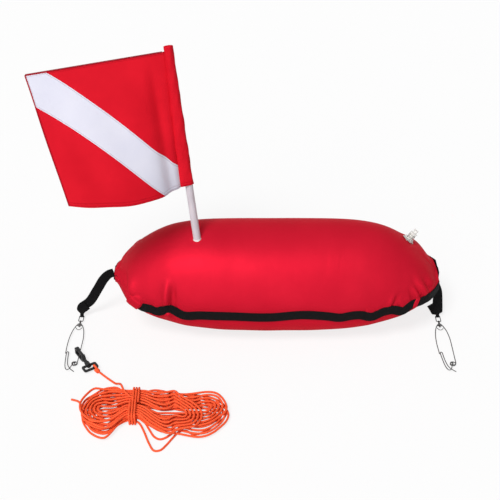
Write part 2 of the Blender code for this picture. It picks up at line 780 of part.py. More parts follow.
def build_valve():
    place, axis = valve_frame()
    low = SEAT_GAP
    flange = low + VALVE_FLANGE_THICKNESS
    profile = (
        (VALVE_NECK_RADIUS, VALVE_NECK_HEIGHT),
        (VALVE_NECK_RADIUS, flange),
        (VALVE_FLANGE_RADIUS, flange),
        (VALVE_FLANGE_RADIUS, low),
        (VALVE_NECK_RADIUS, low),
        (VALVE_NECK_RADIUS, -VALVE_TAIL_LENGTH),
        (VALVE_BORE_RADIUS, -VALVE_TAIL_LENGTH),
        (VALVE_BORE_RADIUS, VALVE_NECK_HEIGHT),
    )
    turned("valve_base", profile, place, axis, VALVE_SIDES, "clear", ring=True)
    foot = flange + SEAT_GAP
    bore = VALVE_NECK_RADIUS + SEAT_GAP
    profile = (
        (VALVE_COLLAR_RADIUS, foot + VALVE_COLLAR_HEIGHT),
        (VALVE_COLLAR_RADIUS, foot),
        (bore, foot),
        (bore, foot + VALVE_COLLAR_HEIGHT),
    )
    turned("valve_collar", profile, place, axis, VALVE_SIDES, "clear", ring=True)
    ceiling = VALVE_NECK_HEIGHT + SEAT_GAP
    skirt = VALVE_NECK_HEIGHT - VALVE_CAP_SKIRT
    outer = bore + VALVE_CAP_WALL
    top = VALVE_NECK_HEIGHT + VALVE_CAP_HEAD
    shoulder = VALVE_NECK_HEIGHT + VALVE_CAP_HEAD / 3
    neck = outer * VALVE_CAP_TOP_SHARE
    profile = ((0, top), (neck, top), (neck, shoulder), (outer, shoulder), (outer, skirt), (bore, skirt))
    turned("valve_cap", (*profile, (bore, ceiling), (0, ceiling)), place, axis, VALVE_SIDES, "clear")
    high = -VALVE_TAIL_LENGTH - SEAT_GAP
    deep = high - VALVE_FLAP_THICKNESS
    profile = ((0, high), (VALVE_NECK_RADIUS, high), (VALVE_NECK_RADIUS, deep), (0, deep))
    flap = turned("valve_flap", profile, place, axis, VALVE_SIDES, "clear")
    edge = Vector((-1, 0, 0))
    edge = (edge - axis * edge.dot(axis)).normalized()
    add_pivot(flap, place + axis * high + edge * VALVE_NECK_RADIUS)


# Round holes through the cover and the air chamber, for the socket and the valve
def cut_holes(cover, chamber):
    place, axis = valve_frame()
    base = pole_base()
    socket = POLE_RADIUS + RUNNING_GAP + SOCKET_WALL + SEAT_GAP
    holes = (
        ("socket_hole", base, Vector(POLE_LEAN), socket, SOCKET_DEPTH / 3),
        ("valve_hole", place, axis, VALVE_NECK_RADIUS + SEAT_GAP, VALVE_TAIL_LENGTH),
    )
    for name, centre, direction, radius, reach in holes:
        profile = ((0, reach), (radius, reach), (radius, -reach), (0, -reach))
        hole = turned(name, profile, centre, direction, POLE_SIDES, None)
        combine(cover, hole, "DIFFERENCE")
        combine(chamber, hole, "DIFFERENCE")


# Straps, swivels and clips


def clip_height():
    return CLIP_WIRE_RADIUS + COIL_TURNS * COIL_PITCH


# Unit vectors across and along a clip
def clip_directions(turn):
    along = Vector((math.sin(turn), -math.cos(turn), 0))
    return Vector((-along.y, along.x, 0)), along


# Where a clip's wire has its top
def clip_top(place, side):
    return tip(side) + place[0], place[1]


def clip_point(top, turn, across, along, lift=0.0):
    sideways, forwards = clip_directions(turn)
    return Vector((*top, clip_height() + lift)) + sideways * across + forwards * along


def build_strap(name, side, shares, top, turn, lift):
    end = tip(1)
    root = Vector((side * (end + SEAT_GAP + WEBBING_THICKNESS), 0, section(end)[1] + lift))
    root.x += side * (SEAT_GAP + WEBBING_THICKNESS / 2 if lift else STRAP_SWING_GAP)
    bar = clip_directions(turn)[0]
    fold = clip_point(top, turn, 0, -EYE_DISTANCE)
    arrival = Vector(STRAP_ARRIVAL)
    arrival = (arrival - bar * arrival.dot(bar)).normalized()
    outside = bar.cross(arrival)
    radius = EYE_WIRE_RADIUS + SEAT_GAP + WEBBING_THICKNESS / 2
    places = []
    facings = []
    for (along, across, down, bow), facing in shares:
        place = Vector((root.x + along * (fold.x - root.x), root.y + across * (fold.y - root.y), 0))
        place.x += side * bow * STRAP_BOW
        place.z = root.z + down * (fold.z - root.z)
        places.append(place)
        facings.append(Vector((side * facing[0], facing[1], facing[2])))
    for run in (STRAP_BUNCH_LENGTH + STRAP_GATHER_LENGTH, STRAP_BUNCH_LENGTH, 0):
        places.append(fold + outside * radius - arrival * run)
        facings.append(bar * side)
    centres = smooth(places, STRAP_STEPS)
    widths = smooth(facings, STRAP_STEPS)
    lengths = [0.0]
    for before, after in zip(reversed(centres[:-1]), reversed(centres[1:])):
        lengths.append(lengths[-1] + (after - before).length)
    lengths.reverse()

    def strap_width(distance):
        share = ease((distance - STRAP_BUNCH_LENGTH) / STRAP_GATHER_LENGTH)
        return STRAP_BUNCH_WIDTH + (WEBBING_WIDTH - STRAP_BUNCH_WIDTH) * share

    rows = []
    back = []
    for index, (centre, width) in enumerate(zip(centres, widths)):
        tangent = centres[min(index + 1, len(centres) - 1)] - centres[max(index - 1, 0)]
        tangent.normalize()
        if index == 0 and not lift:
            tangent = Vector((side, 0, 0))
        width = (width - tangent * width.dot(tangent)).normalized()
        size = strap_width(lengths[index])
        rows.append([centre - width * size / 2, centre + width * size / 2])
        if 0 < lengths[index] < STRAP_TURN_BACK:
            seated = WEBBING_THICKNESS + STRAP_STITCH_GAP
            share = ease(lengths[index] / STRAP_GATHER_LENGTH)
            shift = tangent.cross(width) * side * (2 * radius + (seated - 2 * radius) * share)
            back.append([edge + shift for edge in rows[-1]])
    half = bar * side * STRAP_BUNCH_WIDTH / 2
    for step in range(1, STRAP_TURN_POINTS + 1):
        angle = math.pi * step / STRAP_TURN_POINTS
        centre = fold + radius * (outside * math.cos(angle) + arrival * math.sin(angle))
        rows.append([centre - half, centre + half])
    rows.extend(reversed(back))
    item = add_object(name, sheet_mesh(name, rows), "webbing")
    thicken(item, WEBBING_THICKNESS, 0)
    set_origin(item, root)
    return item


def build_swivel(suffix, top, turn):
    bar, away = clip_directions(turn)
    start = EYE_DISTANCE - EYE_LENGTH
    points = []
    inset = EYE_HALF_WIDTH - EYE_CORNER
    for end, outward, sides in ((-EYE_DISTANCE, -1, (-1, 1)), (-start, 1, (1, -1))):
        for order, corner in enumerate(sides):
            for step in range(4):
                angle = math.pi / 2 * (step / 3 if order == 0 else 1 - step / 3)
                across = corner * (inset + EYE_CORNER * math.cos(angle))
                run = end - outward * EYE_CORNER * (1 - math.sin(angle))
                points.append(clip_point(top, turn, across, run))
    eye = as_mesh(wire("swivel_eye_" + suffix, points, EYE_WIRE_RADIUS, None, cyclic=True), "steel")
    centre = clip_point(top, turn, 0, 0)
    bead = BEAD_RADIUS + 2 * RUNNING_GAP
    shoulder = -bead
    knob = [
        (KNOB_RADIUS * math.sin(math.pi * step / 6), bead + KNOB_RADIUS * (1 - math.cos(math.pi * step / 6)))
        for step in range(6, 2, -1)
    ]
    knob[0] = (0, knob[0][1])
    profile = (
        *knob,
        (KNOB_RADIUS, bead),
        (STEM_RADIUS, bead),
        (STEM_RADIUS, shoulder),
        (SHOULDER_RADIUS, shoulder),
        (SHOULDER_RADIUS, -start - EYE_WIRE_RADIUS / 2),
        (0, -start - EYE_WIRE_RADIUS / 2),
    )
    stem = turned("stem_" + suffix, profile, centre, away, EYE_SIDES, None)
    combine(eye, stem, "UNION")
    set_origin(eye, clip_point(top, turn, 0, -EYE_DISTANCE))

    reach = GUARD_HALF_WIDTH
    places = []
    for step in range(GUARD_POINTS + 1):
        share = 2 * step / GUARD_POINTS - 1
        places.append(clip_point(top, turn, share * reach, GUARD_START + GUARD_SAG * (1 - share * share)))
    guard = wire("swivel_guard_" + suffix, places, GUARD_RADIUS, "steel")
    set_origin(guard, centre)


def build_clip(suffix, top, turn):
    def frame_places(shares):
        places = ((across * CLIP_HALF_WIDTH, along * CLIP_LENGTH) for across, along in shares)
        return [clip_point(top, turn, *place) for place in places]

    left = smooth(frame_places(FRAME_LEFT_SHARES), 2)
    middle = frame_places(FRAME_TOP_SHARES)
    right = smooth(frame_places(FRAME_RIGHT_SHARES), 3)
    centre = CLIP_HALF_WIDTH - COIL_RADIUS
    deep = COIL_PLACE_SHARE * CLIP_LENGTH
    coil = []
    for index in range(round(COIL_TURNS * COIL_POINTS) + 1):
        angle = 2 * math.pi * index / COIL_POINTS
        across = centre + COIL_RADIUS * math.cos(angle)
        along = deep + COIL_RADIUS * math.sin(angle)
        coil.append(clip_point(top, turn, across, along, -COIL_PITCH * index / COIL_POINTS))
    points = [*left, *middle, *right, *coil]
    swell = BEAD_RADIUS / CLIP_WIRE_RADIUS
    widths = [1.0] * len(left) + [swell] * len(middle) + [1.0] * (len(right) + len(coil))
    name = "clip_frame_" + suffix
    frame = as_mesh(wire(name, points, CLIP_WIRE_RADIUS, None, widths=widths), "steel")
    reach = BEAD_RADIUS + CUT_OVERRUN
    radius = STEM_RADIUS + RUNNING_GAP
    profile = ((0, reach), (radius, reach), (radius, -reach), (0, -reach))
    apex = clip_point(top, turn, 0, 0)
    hole = turned("bead_hole_" + suffix, profile, apex, clip_directions(turn)[1], EYE_SIDES, None)
    combine(frame, hole, "DIFFERENCE")
    set_origin(frame, apex)

    places = []
    for across, along, lift in ARM_SHARES:
        place = (centre + across * CLIP_HALF_WIDTH, along * CLIP_LENGTH, lift * CLIP_WIRE_RADIUS)
        places.append(clip_point(top, turn, *place))
    post = clip_point(top, turn, centre, deep, CLIP_WIRE_RADIUS - clip_height())
    knee = clip_point(top, turn, centre, deep, CLIP_WIRE_RADIUS)
    points = [post, knee, *smooth(places, 2)]
    arm = wire("clip_arm_" + suffix, points, CLIP_WIRE_RADIUS, "steel")
    set_origin(arm, post)


# Snap hook


# An outline with rounded corners, from (right, up, radius) corners
def rounded(corners, steps=CORNER_POINTS):
    outline = []
    count = len(corners)
    for index, (right, up, radius) in enumerate(corners):
        corner = Vector((right, up))
        if not radius:
            outline.append(corner)
            continue
        back = (Vector(corners[index - 1][:2]) - corner).normalized()
        ahead = (Vector(corners[(index + 1) % count][:2]) - corner).normalized()
        half = back.angle(ahead) / 2
        start = corner + back * radius / math.tan(half)
        end = corner + ahead * radius / math.tan(half)
        centre = corner + (back + ahead).normalized() * radius / math.sin(half)
        for step in range(steps + 1):
            spoke = (start - centre).lerp(end - centre, step / steps).normalized()
            outline.append(centre + spoke * radius)
    return outline


def hook_frame():
    along = Vector((*HOOK_DIRECTION, 0)).normalized()
    top = clip_top(CLIP_TOP_LEFT, -1)
    start = clip_point(top, CLIP_TURN_LEFT, CLIP_HALF_WIDTH, HOOK_WIRE_SHARE * CLIP_LENGTH)
    start.z = 0
    return start, along, Vector((-along.y, along.x, 0))


def hook_point(along, across, height):
    start, forwards, sideways = hook_frame()
    return start + forwards * along + sideways * across + Vector((0, 0, height))


# Height of the shank's axis: the line lies under the loop
def shank_height():
    return 2 * ROPE_RADIUS + SEAT_GAP + LOOP_THICKNESS / 2 + SEAT_GAP


def eye_end():
    return HOOK_EYE_LENGTH - HOOK_NOSE_RUN


def shank_end():
    return eye_end() + HOOK_SHANK_LENGTH


def loop_start():
    return shank_end() + RUNNING_GAP + LOOP_BARREL_LENGTH


def far_bar():
    return loop_start() + LOOP_BAR + SLOT_HEIGHT + LOOP_BAR / 2


def build_hook():
    start, forwards, sideways = hook_frame()
    upright = Vector((0, 0, 1))
    start.z = clip_height()
    low = clip_height() - CLIP_WIRE_RADIUS - SEAT_GAP - HOOK_SPINE
    floor = low + HOOK_SPINE
    ceiling = floor + HOOK_EYE_HEIGHT
    top = ceiling + HOOK_GATE_HEIGHT
    nose = -HOOK_NOSE_RUN - HOOK_NOSE_WALL
    tip = -HOOK_NOSE_RUN + (1 - HOOK_GATE_SHARE) * HOOK_EYE_LENGTH
    block = eye_end() + HOOK_BLOCK_LENGTH
    axis_height = shank_height()
    corners = (
        (nose, low, HOOK_CORNER),
        (eye_end(), low, HOOK_CORNER),
        (block, axis_height - HOOK_SHANK_RADIUS, 0),
        (block, axis_height + HOOK_SHANK_RADIUS, 0),
        (eye_end() + HOOK_SPINE / 2, top, 0),
        (eye_end(), top, 0),
        (eye_end(), floor, HOOK_CORNER / 2),
        (-HOOK_NOSE_RUN, floor, HOOK_CORNER / 2),
        (-HOOK_NOSE_RUN, ceiling, HOOK_CORNER / 2),
        (tip, ceiling, 0),
        (tip, top, 0),
        (nose, top, HOOK_CORNER),
    )
    corners = [(along, height - start.z, radius) for along, height, radius in corners]
    body = plate("hook_body", [rounded(corners)], HOOK_THICKNESS, start, forwards, upright, "black plastic")
    bevel(body, HOOK_EDGE)
    slot_edge = loop_start() + LOOP_BAR
    barrel_end = slot_edge + RUNNING_GAP
    head = barrel_end + RUNNING_GAP
    profile = (
        (0, head + HOOK_PIN_HEAD_LENGTH),
        (HOOK_PIN_HEAD_RADIUS, head + HOOK_PIN_HEAD_LENGTH),
        (HOOK_PIN_HEAD_RADIUS, head),
        (HOOK_PIN_RADIUS, head),
        (HOOK_PIN_RADIUS, shank_end()),
        (HOOK_SHANK_RADIUS, shank_end()),
        (HOOK_SHANK_RADIUS, block - HOOK_BLOCK_LENGTH / 2),
        (0, block - HOOK_BLOCK_LENGTH / 2),
    )
    base = hook_point(0, 0, axis_height)
    combine(body, turned("hook_shank", profile, base, forwards, POLE_SIDES, None), "UNION")

    half = HOOK_GATE_HEIGHT / 2
    hinge = eye_end() - SEAT_GAP - half
    corners = (
        (tip + SEAT_GAP, ceiling, 0),
        (eye_end() - SEAT_GAP, ceiling, half * 0.99),
        (eye_end() - SEAT_GAP, top, half * 0.99),
        (tip + SEAT_GAP, top, 0),
    )
    place = hook_point(hinge, 0, ceiling + half)
    corners = [(right - hinge, up - ceiling - half, radius) for right, up, radius in corners]
    plate("hook_gate", [rounded(corners)], HOOK_GATE_WIDTH, place, forwards, upright, "black plastic")

    near, far = loop_start(), far_bar() + LOOP_BAR / 2
    side = LOOP_WIDTH / 2
    outer = [
        (near, -side, LOOP_CORNER),
        (far, -side, LOOP_CORNER),
        (far, side, LOOP_CORNER),
        (near, side, LOOP_CORNER),
    ]
    side = SLOT_LENGTH / 2
    low_edge, high_edge = slot_edge, slot_edge + SLOT_HEIGHT
    slot = [
        (low_edge, -side, SLOT_CORNER),
        (high_edge, -side, SLOT_CORNER),
        (high_edge, side, SLOT_CORNER),
        (low_edge, side, SLOT_CORNER),
    ]
    outlines = [rounded(outer), rounded(slot)]
    loop = plate("hook_loop", outlines, LOOP_THICKNESS, base, forwards, sideways, "black plastic")
    bevel(loop, HOOK_EDGE)
    first = shank_end() + RUNNING_GAP
    profile = ((0, barrel_end), (LOOP_BARREL_RADIUS, barrel_end), (LOOP_BARREL_RADIUS, first), (0, first))
    combine(loop, turned("loop_barrel", profile, base, forwards, POLE_SIDES, None), "UNION")
    bore = HOOK_PIN_RADIUS + RUNNING_GAP
    first, last = first - CUT_OVERRUN, barrel_end + CUT_OVERRUN
    profile = ((0, last), (bore, last), (bore, first), (0, first))
    combine(loop, turned("loop_bore", profile, base, forwards, POLE_SIDES, None), "DIFFERENCE")


# Line


def build_knot():
    middle = far_bar()
    side = KNOT_SIDE_SHARE * SLOT_LENGTH
    clear = SEAT_GAP + ROPE_RADIUS
    low = middle - LOOP_BAR / 2 - clear
    rise = LOOP_THICKNESS / 2 + clear
    height = shank_height()
    corners = (
        (low, height - rise, KNOT_CORNER),
        (middle + KNOT_REACH, height - rise, KNOT_CORNER),
        (middle + KNOT_REACH, height + rise, KNOT_CORNER),
        (low, height + rise, KNOT_CORNER),
    )
    points = [hook_point(along, side, up) for along, up in rounded(corners)]
    knot = as_mesh(wire("rope_knot", points, ROPE_RADIUS, None, cyclic=True), "rope")
    set_origin(knot, hook_point(shank_end(), 0, height))
    lump = hook_point(middle + KNOT_LUMP, side, height)
    angles = [math.pi * step / 6 for step in range(7)]
    profile = [(KNOT_RADIUS * math.sin(angle), KNOT_RADIUS * math.cos(angle)) for angle in angles]
    profile[0], profile[-1] = (0, KNOT_RADIUS), (0, -KNOT_RADIUS)
    route = from_tip(LEAD_ROUTE[:1])[0] - lump
    combine(knot, turned("knot_lump", profile, lump, route, EYE_SIDES, None), "UNION")
    return lump, route.normalized()


# The line's places, which are from the float's left tip, as places from the origin
def from_tip(places):
    return [Vector(place) + Vector((tip(-1), 0, 0)) for place in places]


def layer_step():
    return 2 * ROPE_RADIUS + ROPE_GAP


def waist_window(along):
    away = abs(along - HANK_WAIST)
    return 1 - ease((away - HANK_WAIST_FLAT) / (HANK_WAIST_REACH - HANK_WAIST_FLAT))


def hank_middle(along):
    return HANK_MIDDLE + HANK_WAIST_SHIFT * waist_window(along)


def hank_half_width(along):
    share = (along - HANK_LEFT) / (HANK_RIGHT - HANK_LEFT)
    lobe = HANK_LOBE_LEFT + (HANK_LOBE_RIGHT - HANK_LOBE_LEFT) * share
    return lobe + (HANK_WAIST_HALF_WIDTH - lobe) * waist_window(along)


# How many loops in from the outside, at a number of turns from the start
def hank_depth(turns):
    last = HANK_LAYERS * LOOPS_IN_LAYER
    if turns >= last:
        return HANK_LAST_DEPTH * ease((turns - last) / HANK_LAST_TURN) - HALF_RUN
    phase = (turns + HALF_RUN) % (2 * LOOPS_IN_LAYER)
    return min(phase, 2 * LOOPS_IN_LAYER - phase) - HALF_RUN


def hank_place(turns, share, side, slack=0.0):
    depth = hank_depth(turns)
    waist = (HANK_WAIST - HANK_LEFT) / (HANK_RIGHT - HANK_LEFT)
    pull = 1 - share / waist if share < waist else (waist - share) / (1 - waist)
    along = HANK_LEFT + (HANK_RIGHT - HANK_LEFT) * share + depth * LOOP_STEP * pull
    spread = 2 * math.sqrt(max(0.0, share * (1 - share))) * hank_half_width(along)
    across = hank_middle(along) + side * spread * (1 - depth / (LOOPS_IN_LAYER + HANK_CORE)) - slack
    climbs = sum(ease((turns - LOOPS_IN_LAYER * layer) * 2 + 1) for layer in range(1, HANK_LAYERS))
    climbs += ease((turns - LOOPS_IN_LAYER * HANK_LAYERS) / HANK_LAST_TURN + 1)
    height = ROPE_RADIUS + layer_step() * (climbs + waist_window(along))
    return Vector((along, across, height))


def slack_at(turn, along):
    reach = 0.0
    for slack_turn, start, end, size in HANK_SLACK:
        if turn == slack_turn and start < along < end:
            reach += size * math.sin(math.pi * (along - start) / (end - start)) ** 2
    return reach


def hank_points():
    points = []
    loops = HANK_LAYERS * LOOPS_IN_LAYER
    for turn in range(loops):
        slack_turn = any(turn == entry[0] for entry in HANK_SLACK)
        run = (*SLACK_SHARES, *SLACK_SHARES_REST) if slack_turn else RUN_SHARES
        for share in run:
            along = hank_place(turn + share / 2, share, -1).x
            points.append(hank_place(turn + share / 2, share, -1, slack_at(turn, along)))
        for share in (1.0, *reversed(RUN_SHARES[1:])):
            points.append(hank_place(turn + 1 - share / 2, share, 1))
    for share in RUN_SHARES[: RUN_SHARES.index(HANK_LAST_SHARE) + 1]:
        points.append(hank_place(loops + share / 2, share, -1))
    points.insert(1, points[0] - Vector((0, 2 * ROPE_RADIUS, 0)))
    return points


# The tie's turns round the waist, from the top middle towards the front
def tie_points():
    step = layer_step()
    middle = hank_middle(HANK_WAIST)
    half = HANK_WAIST_HALF_WIDTH * (1 + HALF_RUN / (LOOPS_IN_LAYER + HANK_CORE)) + step
    top = ROPE_RADIUS + (HANK_LAYERS + 1) * step
    corners = (
        (middle, top, 0),
        (middle - half, top, step),
        (middle - half, ROPE_RADIUS, step),
        (middle, ROPE_RADIUS, 0),
        (middle + half, ROPE_RADIUS, step),
        (middle + half, top, step),
    )
    outline = rounded(corners)
    outline = outline * TIE_TURNS + [outline[0]]
    lengths = [0.0]
    for before, after in zip(outline, outline[1:]):
        lengths.append(lengths[-1] + (after - before).length)
    points = []
    for length, (across, height) in zip(lengths, outline):
        share = length / lengths[-1]
        points.append(Vector((HANK_WAIST + (share - 0.5) * TIE_TURNS * step, across, height)))
    return points


# Where the tie's left side lies on top, at a place across
def tie_face(points, across):
    top = max(point.z for point in points)
    leftmost = []
    for before, after in zip(points, points[1:]):
        low, high = sorted((before.y, after.y))
        if low <= across <= high and min(before.z, after.z) > top - SEAT_GAP and high > low:
            share = (across - before.y) / (after.y - before.y)
            leftmost.append(before.x + (after.x - before.x) * share)
    return Vector((min(leftmost) - ROPE_RADIUS - SEAT_GAP, across, top))


def least_gap(points):
    least = 1.0
    for index, point in enumerate(points):
        for other, (start, end) in enumerate(zip(points, points[1:])):
            if abs(other - index) > 4:
                run = end - start
                share = max(0.0, min(1.0, (point - start).dot(run) / run.length_squared))
                least = min(least, (point - start - run * share).length)
    return least - 2 * ROPE_RADIUS


def build_line():
    lump, leaving = build_knot()
    pivot = hook_point(shank_end(), 0, shank_height())
    tie = from_tip(tie_points())
    set_origin(wire("rope_tie", tie, ROPE_RADIUS, "rope", resolution=1), pivot)

    points = from_tip(hank_points())
    end = tie_face(tie, points[-1].y)
    points[-1] = end - Vector((2 * ROPE_RADIUS, 0, 0))
    points.append(end)
    set_origin(wire("rope_hank", points, ROPE_RADIUS, "rope", resolution=1), pivot)
    length = sum((after - before).length for before, after in zip(points, points[1:]))
    print("hank: length", round(length, 2), "least gap", round(least_gap(points), 5), "points", len(points))

    end = tie_face(tie, LEAD_END_ACROSS)
    start = lump + leaving * (KNOT_RADIUS + SEAT_GAP)
    straight = Vector((2 * ROPE_RADIUS, 0, 0))
    places = [start + leaving * 2 * ROPE_RADIUS, *from_tip(LEAD_ROUTE), end - straight]
    lead = [start, *smooth(places, 2), end]
    set_origin(wire("rope_lead", lead, ROPE_RADIUS, "rope"), pivot)

    start = points[0] + Vector((0, SEAT_GAP, 0))
    places = [start + Vector((0, 2 * ROPE_RADIUS, 0)), *from_tip(TAIL_ROUTE)]
    tail = [start, *smooth(places, 2)]
    set_origin(wire("rope_tail", tail, ROPE_RADIUS, "rope"), pivot)
    for name, route in (("lead", lead), ("tail", tail), ("tie", tie)):
        length = sum((after - before).length for before, after in zip(route, route[1:]))
        print(name + ": length", round(length, 3), "points", len(route))


clear_scene()
parts = new_collection(COLLECTION_NAME)
cutters = new_collection(CUTTERS_NAME)
cover_top = cover_panel("cover_top", 0.0)
cover_bottom = cover_panel("cover_bottom", math.pi)
bladder = air_chamber("bladder")
cut_holes(cover_top, bladder)
for float_piece in (cover_top, cover_bottom, bladder):
    smooth_shading(float_piece)
edge_webbing("edge_webbing_front", -1)
edge_webbing("edge_webbing_back", 1)
build_pole()
build_flag()
build_valve()
for suffix, top, turn, side, shares, lift in (
    ("left", clip_top(CLIP_TOP_LEFT, -1), CLIP_TURN_LEFT, -1, STRAP_SHARES_LEFT, 0.0),
    ("right", clip_top(CLIP_TOP_RIGHT, 1), CLIP_TURN_RIGHT, 1, STRAP_SHARES_RIGHT, STRAP_PATCH),
):
    build_strap("strap_" + suffix, side, shares, top, turn, lift)
    build_swivel(suffix, top, turn)
    build_clip(suffix, top, turn)
build_hook()
build_line()
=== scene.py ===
import math

import bpy
import numpy as np
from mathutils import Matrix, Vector


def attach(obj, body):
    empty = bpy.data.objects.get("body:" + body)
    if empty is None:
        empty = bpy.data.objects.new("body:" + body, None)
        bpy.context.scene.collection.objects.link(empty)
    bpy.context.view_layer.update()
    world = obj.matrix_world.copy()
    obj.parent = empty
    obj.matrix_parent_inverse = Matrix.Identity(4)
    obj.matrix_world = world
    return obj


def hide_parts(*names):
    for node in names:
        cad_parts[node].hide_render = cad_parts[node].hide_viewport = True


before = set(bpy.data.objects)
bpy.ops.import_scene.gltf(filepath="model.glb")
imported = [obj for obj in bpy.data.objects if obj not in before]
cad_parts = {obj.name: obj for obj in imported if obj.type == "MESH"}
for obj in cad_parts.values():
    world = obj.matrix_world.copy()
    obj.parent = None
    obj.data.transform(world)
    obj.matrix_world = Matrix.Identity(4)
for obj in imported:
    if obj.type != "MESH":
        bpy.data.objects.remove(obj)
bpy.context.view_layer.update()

# Camera first: it sees what the photograph sees
camera = {"aim": (-0.064, 0.0325, 0.163), "elevation": 35, "distance": 2.6, "lens": 76}


def placeCamera():
    lift = math.radians(camera["elevation"])
    back = Vector((0, -math.cos(lift), math.sin(lift)))
    data = bpy.data.cameras.new("camera")
    data.lens = camera["lens"]
    data.sensor_width = 36
    item = bpy.data.objects.new("camera", data)
    bpy.context.scene.collection.objects.link(item)
    item.location = Vector(camera["aim"]) + back * camera["distance"]
    item.rotation_euler = back.to_track_quat("Z", "Y").to_euler()
    bpy.context.scene.camera = item
    bpy.context.scene.view_settings.view_transform = "Standard"


placeCamera()
print("camera placed")


# Vectors along the last axis made length 1
def unit(vectors):
    vectors = np.asarray(vectors, float)
    return vectors / np.linalg.norm(vectors, axis=-1, keepdims=True)


# Smooth step from 0 to 1 over shares 0 to 1
def ease(share):
    share = np.clip(share, 0, 1)
    return share * share * (3 - 2 * share)


# Cubic through every place, its slope at each from both neighbours by the square roots of their distances
def splineThrough(places, steps):
    places = np.asarray(places, float)
    padded = np.concatenate([2 * places[:1] - places[1:2], places, 2 * places[-1:] - places[-2:-1]])
    gaps = np.sqrt(np.maximum(np.linalg.norm(np.diff(padded, axis=0), axis=1), 1e-9))
    before, start, end, after = padded[:-3], padded[1:-2], padded[2:-1], padded[3:]
    first, middle, last = gaps[:-2, None], gaps[1:-1, None], gaps[2:, None]
    leaving = (start - before) / first - (end - before) / (first + middle) + (end - start) / middle
    arriving = (end - start) / middle - (after - start) / (middle + last) + (after - end) / last
    leaving, arriving = (item[:, None, :] * middle[:, None] for item in (leaving, arriving))
    start, end = start[:, None, :], end[:, None, :]
    share = (np.arange(steps) / steps)[None, :, None]
    curve = (
        start * (2 * share**3 - 3 * share**2 + 1)
        + leaving * (share**3 - 2 * share**2 + share)
        + end * (3 * share**2 - 2 * share**3)
        + arriving * (share**3 - share**2)
    )
    return np.concatenate([curve.reshape(-1, places.shape[1]), places[-1:]])


# Distance run along a path up to each of its points
def runLength(path):
    return np.concatenate([[0], np.cumsum(np.linalg.norm(np.diff(path, axis=0), axis=1))])


# The same path with its points an even distance apart
def evenPath(path, spacing):
    run = runLength(path)
    count = max(2, int(round(run[-1] / spacing)) + 1)
    wanted = np.linspace(0, run[-1], count)
    return np.stack([np.interp(wanted, run, path[:, axis]) for axis in range(3)], -1)


# A surface through a grid of points: each cell of four neighbours is a face
# uv is each point's place on the cloth
def surface(name, points, uv=None, around=False, firstEnd=False, lastEnd=False, flip=False):
    points = np.asarray(points, float)
    rows, columns = points.shape[:2]
    r, c = np.meshgrid(np.arange(rows - 1), np.arange(columns if around else columns - 1), indexing="ij")
    corners = ((r, c), (r, c + 1), (r + 1, c + 1), (r + 1, c))
    faces = np.stack([i * columns + j % columns for i, j in corners], -1).reshape(-1, 4)
    wide = columns + 1 if around else columns
    places = np.stack([i * wide + j for i, j in corners], -1).reshape(-1, 4)
    faceList = faces.tolist()
    first = list(range(columns))
    last = [(rows - 1) * columns + index for index in reversed(range(columns))]
    faceList += [first[::-1]] if firstEnd else []
    faceList += [last[::-1]] if lastEnd else []
    mesh = bpy.data.meshes.new(name)
    mesh.from_pydata(points.reshape(-1, 3).tolist(), [], faceList)
    if uv is not None:
        layer = mesh.uv_layers.new(name="cloth")
        values = np.zeros((len(mesh.loops), 2))
        values[: places.size] = np.asarray(uv, float).reshape(-1, 2)[places.reshape(-1)]
        layer.data.foreach_set("uv", values.astype(np.float32).ravel())
    if flip:
        mesh.flip_normals()
    mesh.shade_smooth()
    mesh.update()
    item = bpy.data.objects.new(name, mesh)
    bpy.context.scene.collection.objects.link(item)
    return item


# Directions side and up square to a path: side is the path's direction crossed with a reference
def pathFrame(path, reference):
    forward = unit(np.gradient(path, axis=0))
    reference = np.broadcast_to(np.asarray(reference, float), path.shape)
    side = unit(np.cross(forward, reference))
    return forward, side, np.cross(side, forward)


# A tube's dome: its rings' shares of the radius out, its height, and its rings' sizes
dome = {"shares": (0.0, 0.35, 0.72), "height": 0.6, "sizes": (0.35, 0.7, 0.93)}


# A round tube: at each point of the path a circle in its square plane; ends closed by small domes
def tube(name, path, radius, sides, reference=(0, 0, 1), domed=True):
    path = np.asarray(path, float)
    forward, side, up = pathFrame(path, reference)
    sizes = np.broadcast_to(np.asarray(radius, float), len(path)).copy()
    if domed:
        shares, ends = np.array(dome["shares"]), np.array(dome["sizes"])
        reach = sizes[0] * (1 - np.sqrt(1 - shares**2))[::-1]
        heads = path[0] - forward[0] * (sizes[0] - reach[:, None]) * dome["height"]
        tails = path[-1] + forward[-1] * (sizes[-1] - reach[::-1, None]) * dome["height"]
        path = np.concatenate([heads, path, tails])
        side = np.concatenate([np.repeat(side[:1], 3, 0), side, np.repeat(side[-1:], 3, 0)])
        up = np.concatenate([np.repeat(up[:1], 3, 0), up, np.repeat(up[-1:], 3, 0)])
        sizes = np.concatenate([sizes[0] * ends, sizes, sizes[-1] * ends[::-1]])
    run = runLength(path)
    angle = 2 * np.pi * np.arange(sides) / sides
    ring = np.cos(angle)[:, None] * side[:, None] + np.sin(angle)[:, None] * up[:, None]
    points = path[:, None] + sizes[:, None, None] * ring
    around = np.arange(sides + 1) / sides
    uv = np.stack(np.meshgrid(run, around, indexing="ij"), -1)
    return surface(name, points, uv, around=True, firstEnd=True, lastEnd=True)


edgePowers = (0.62, 0.36)


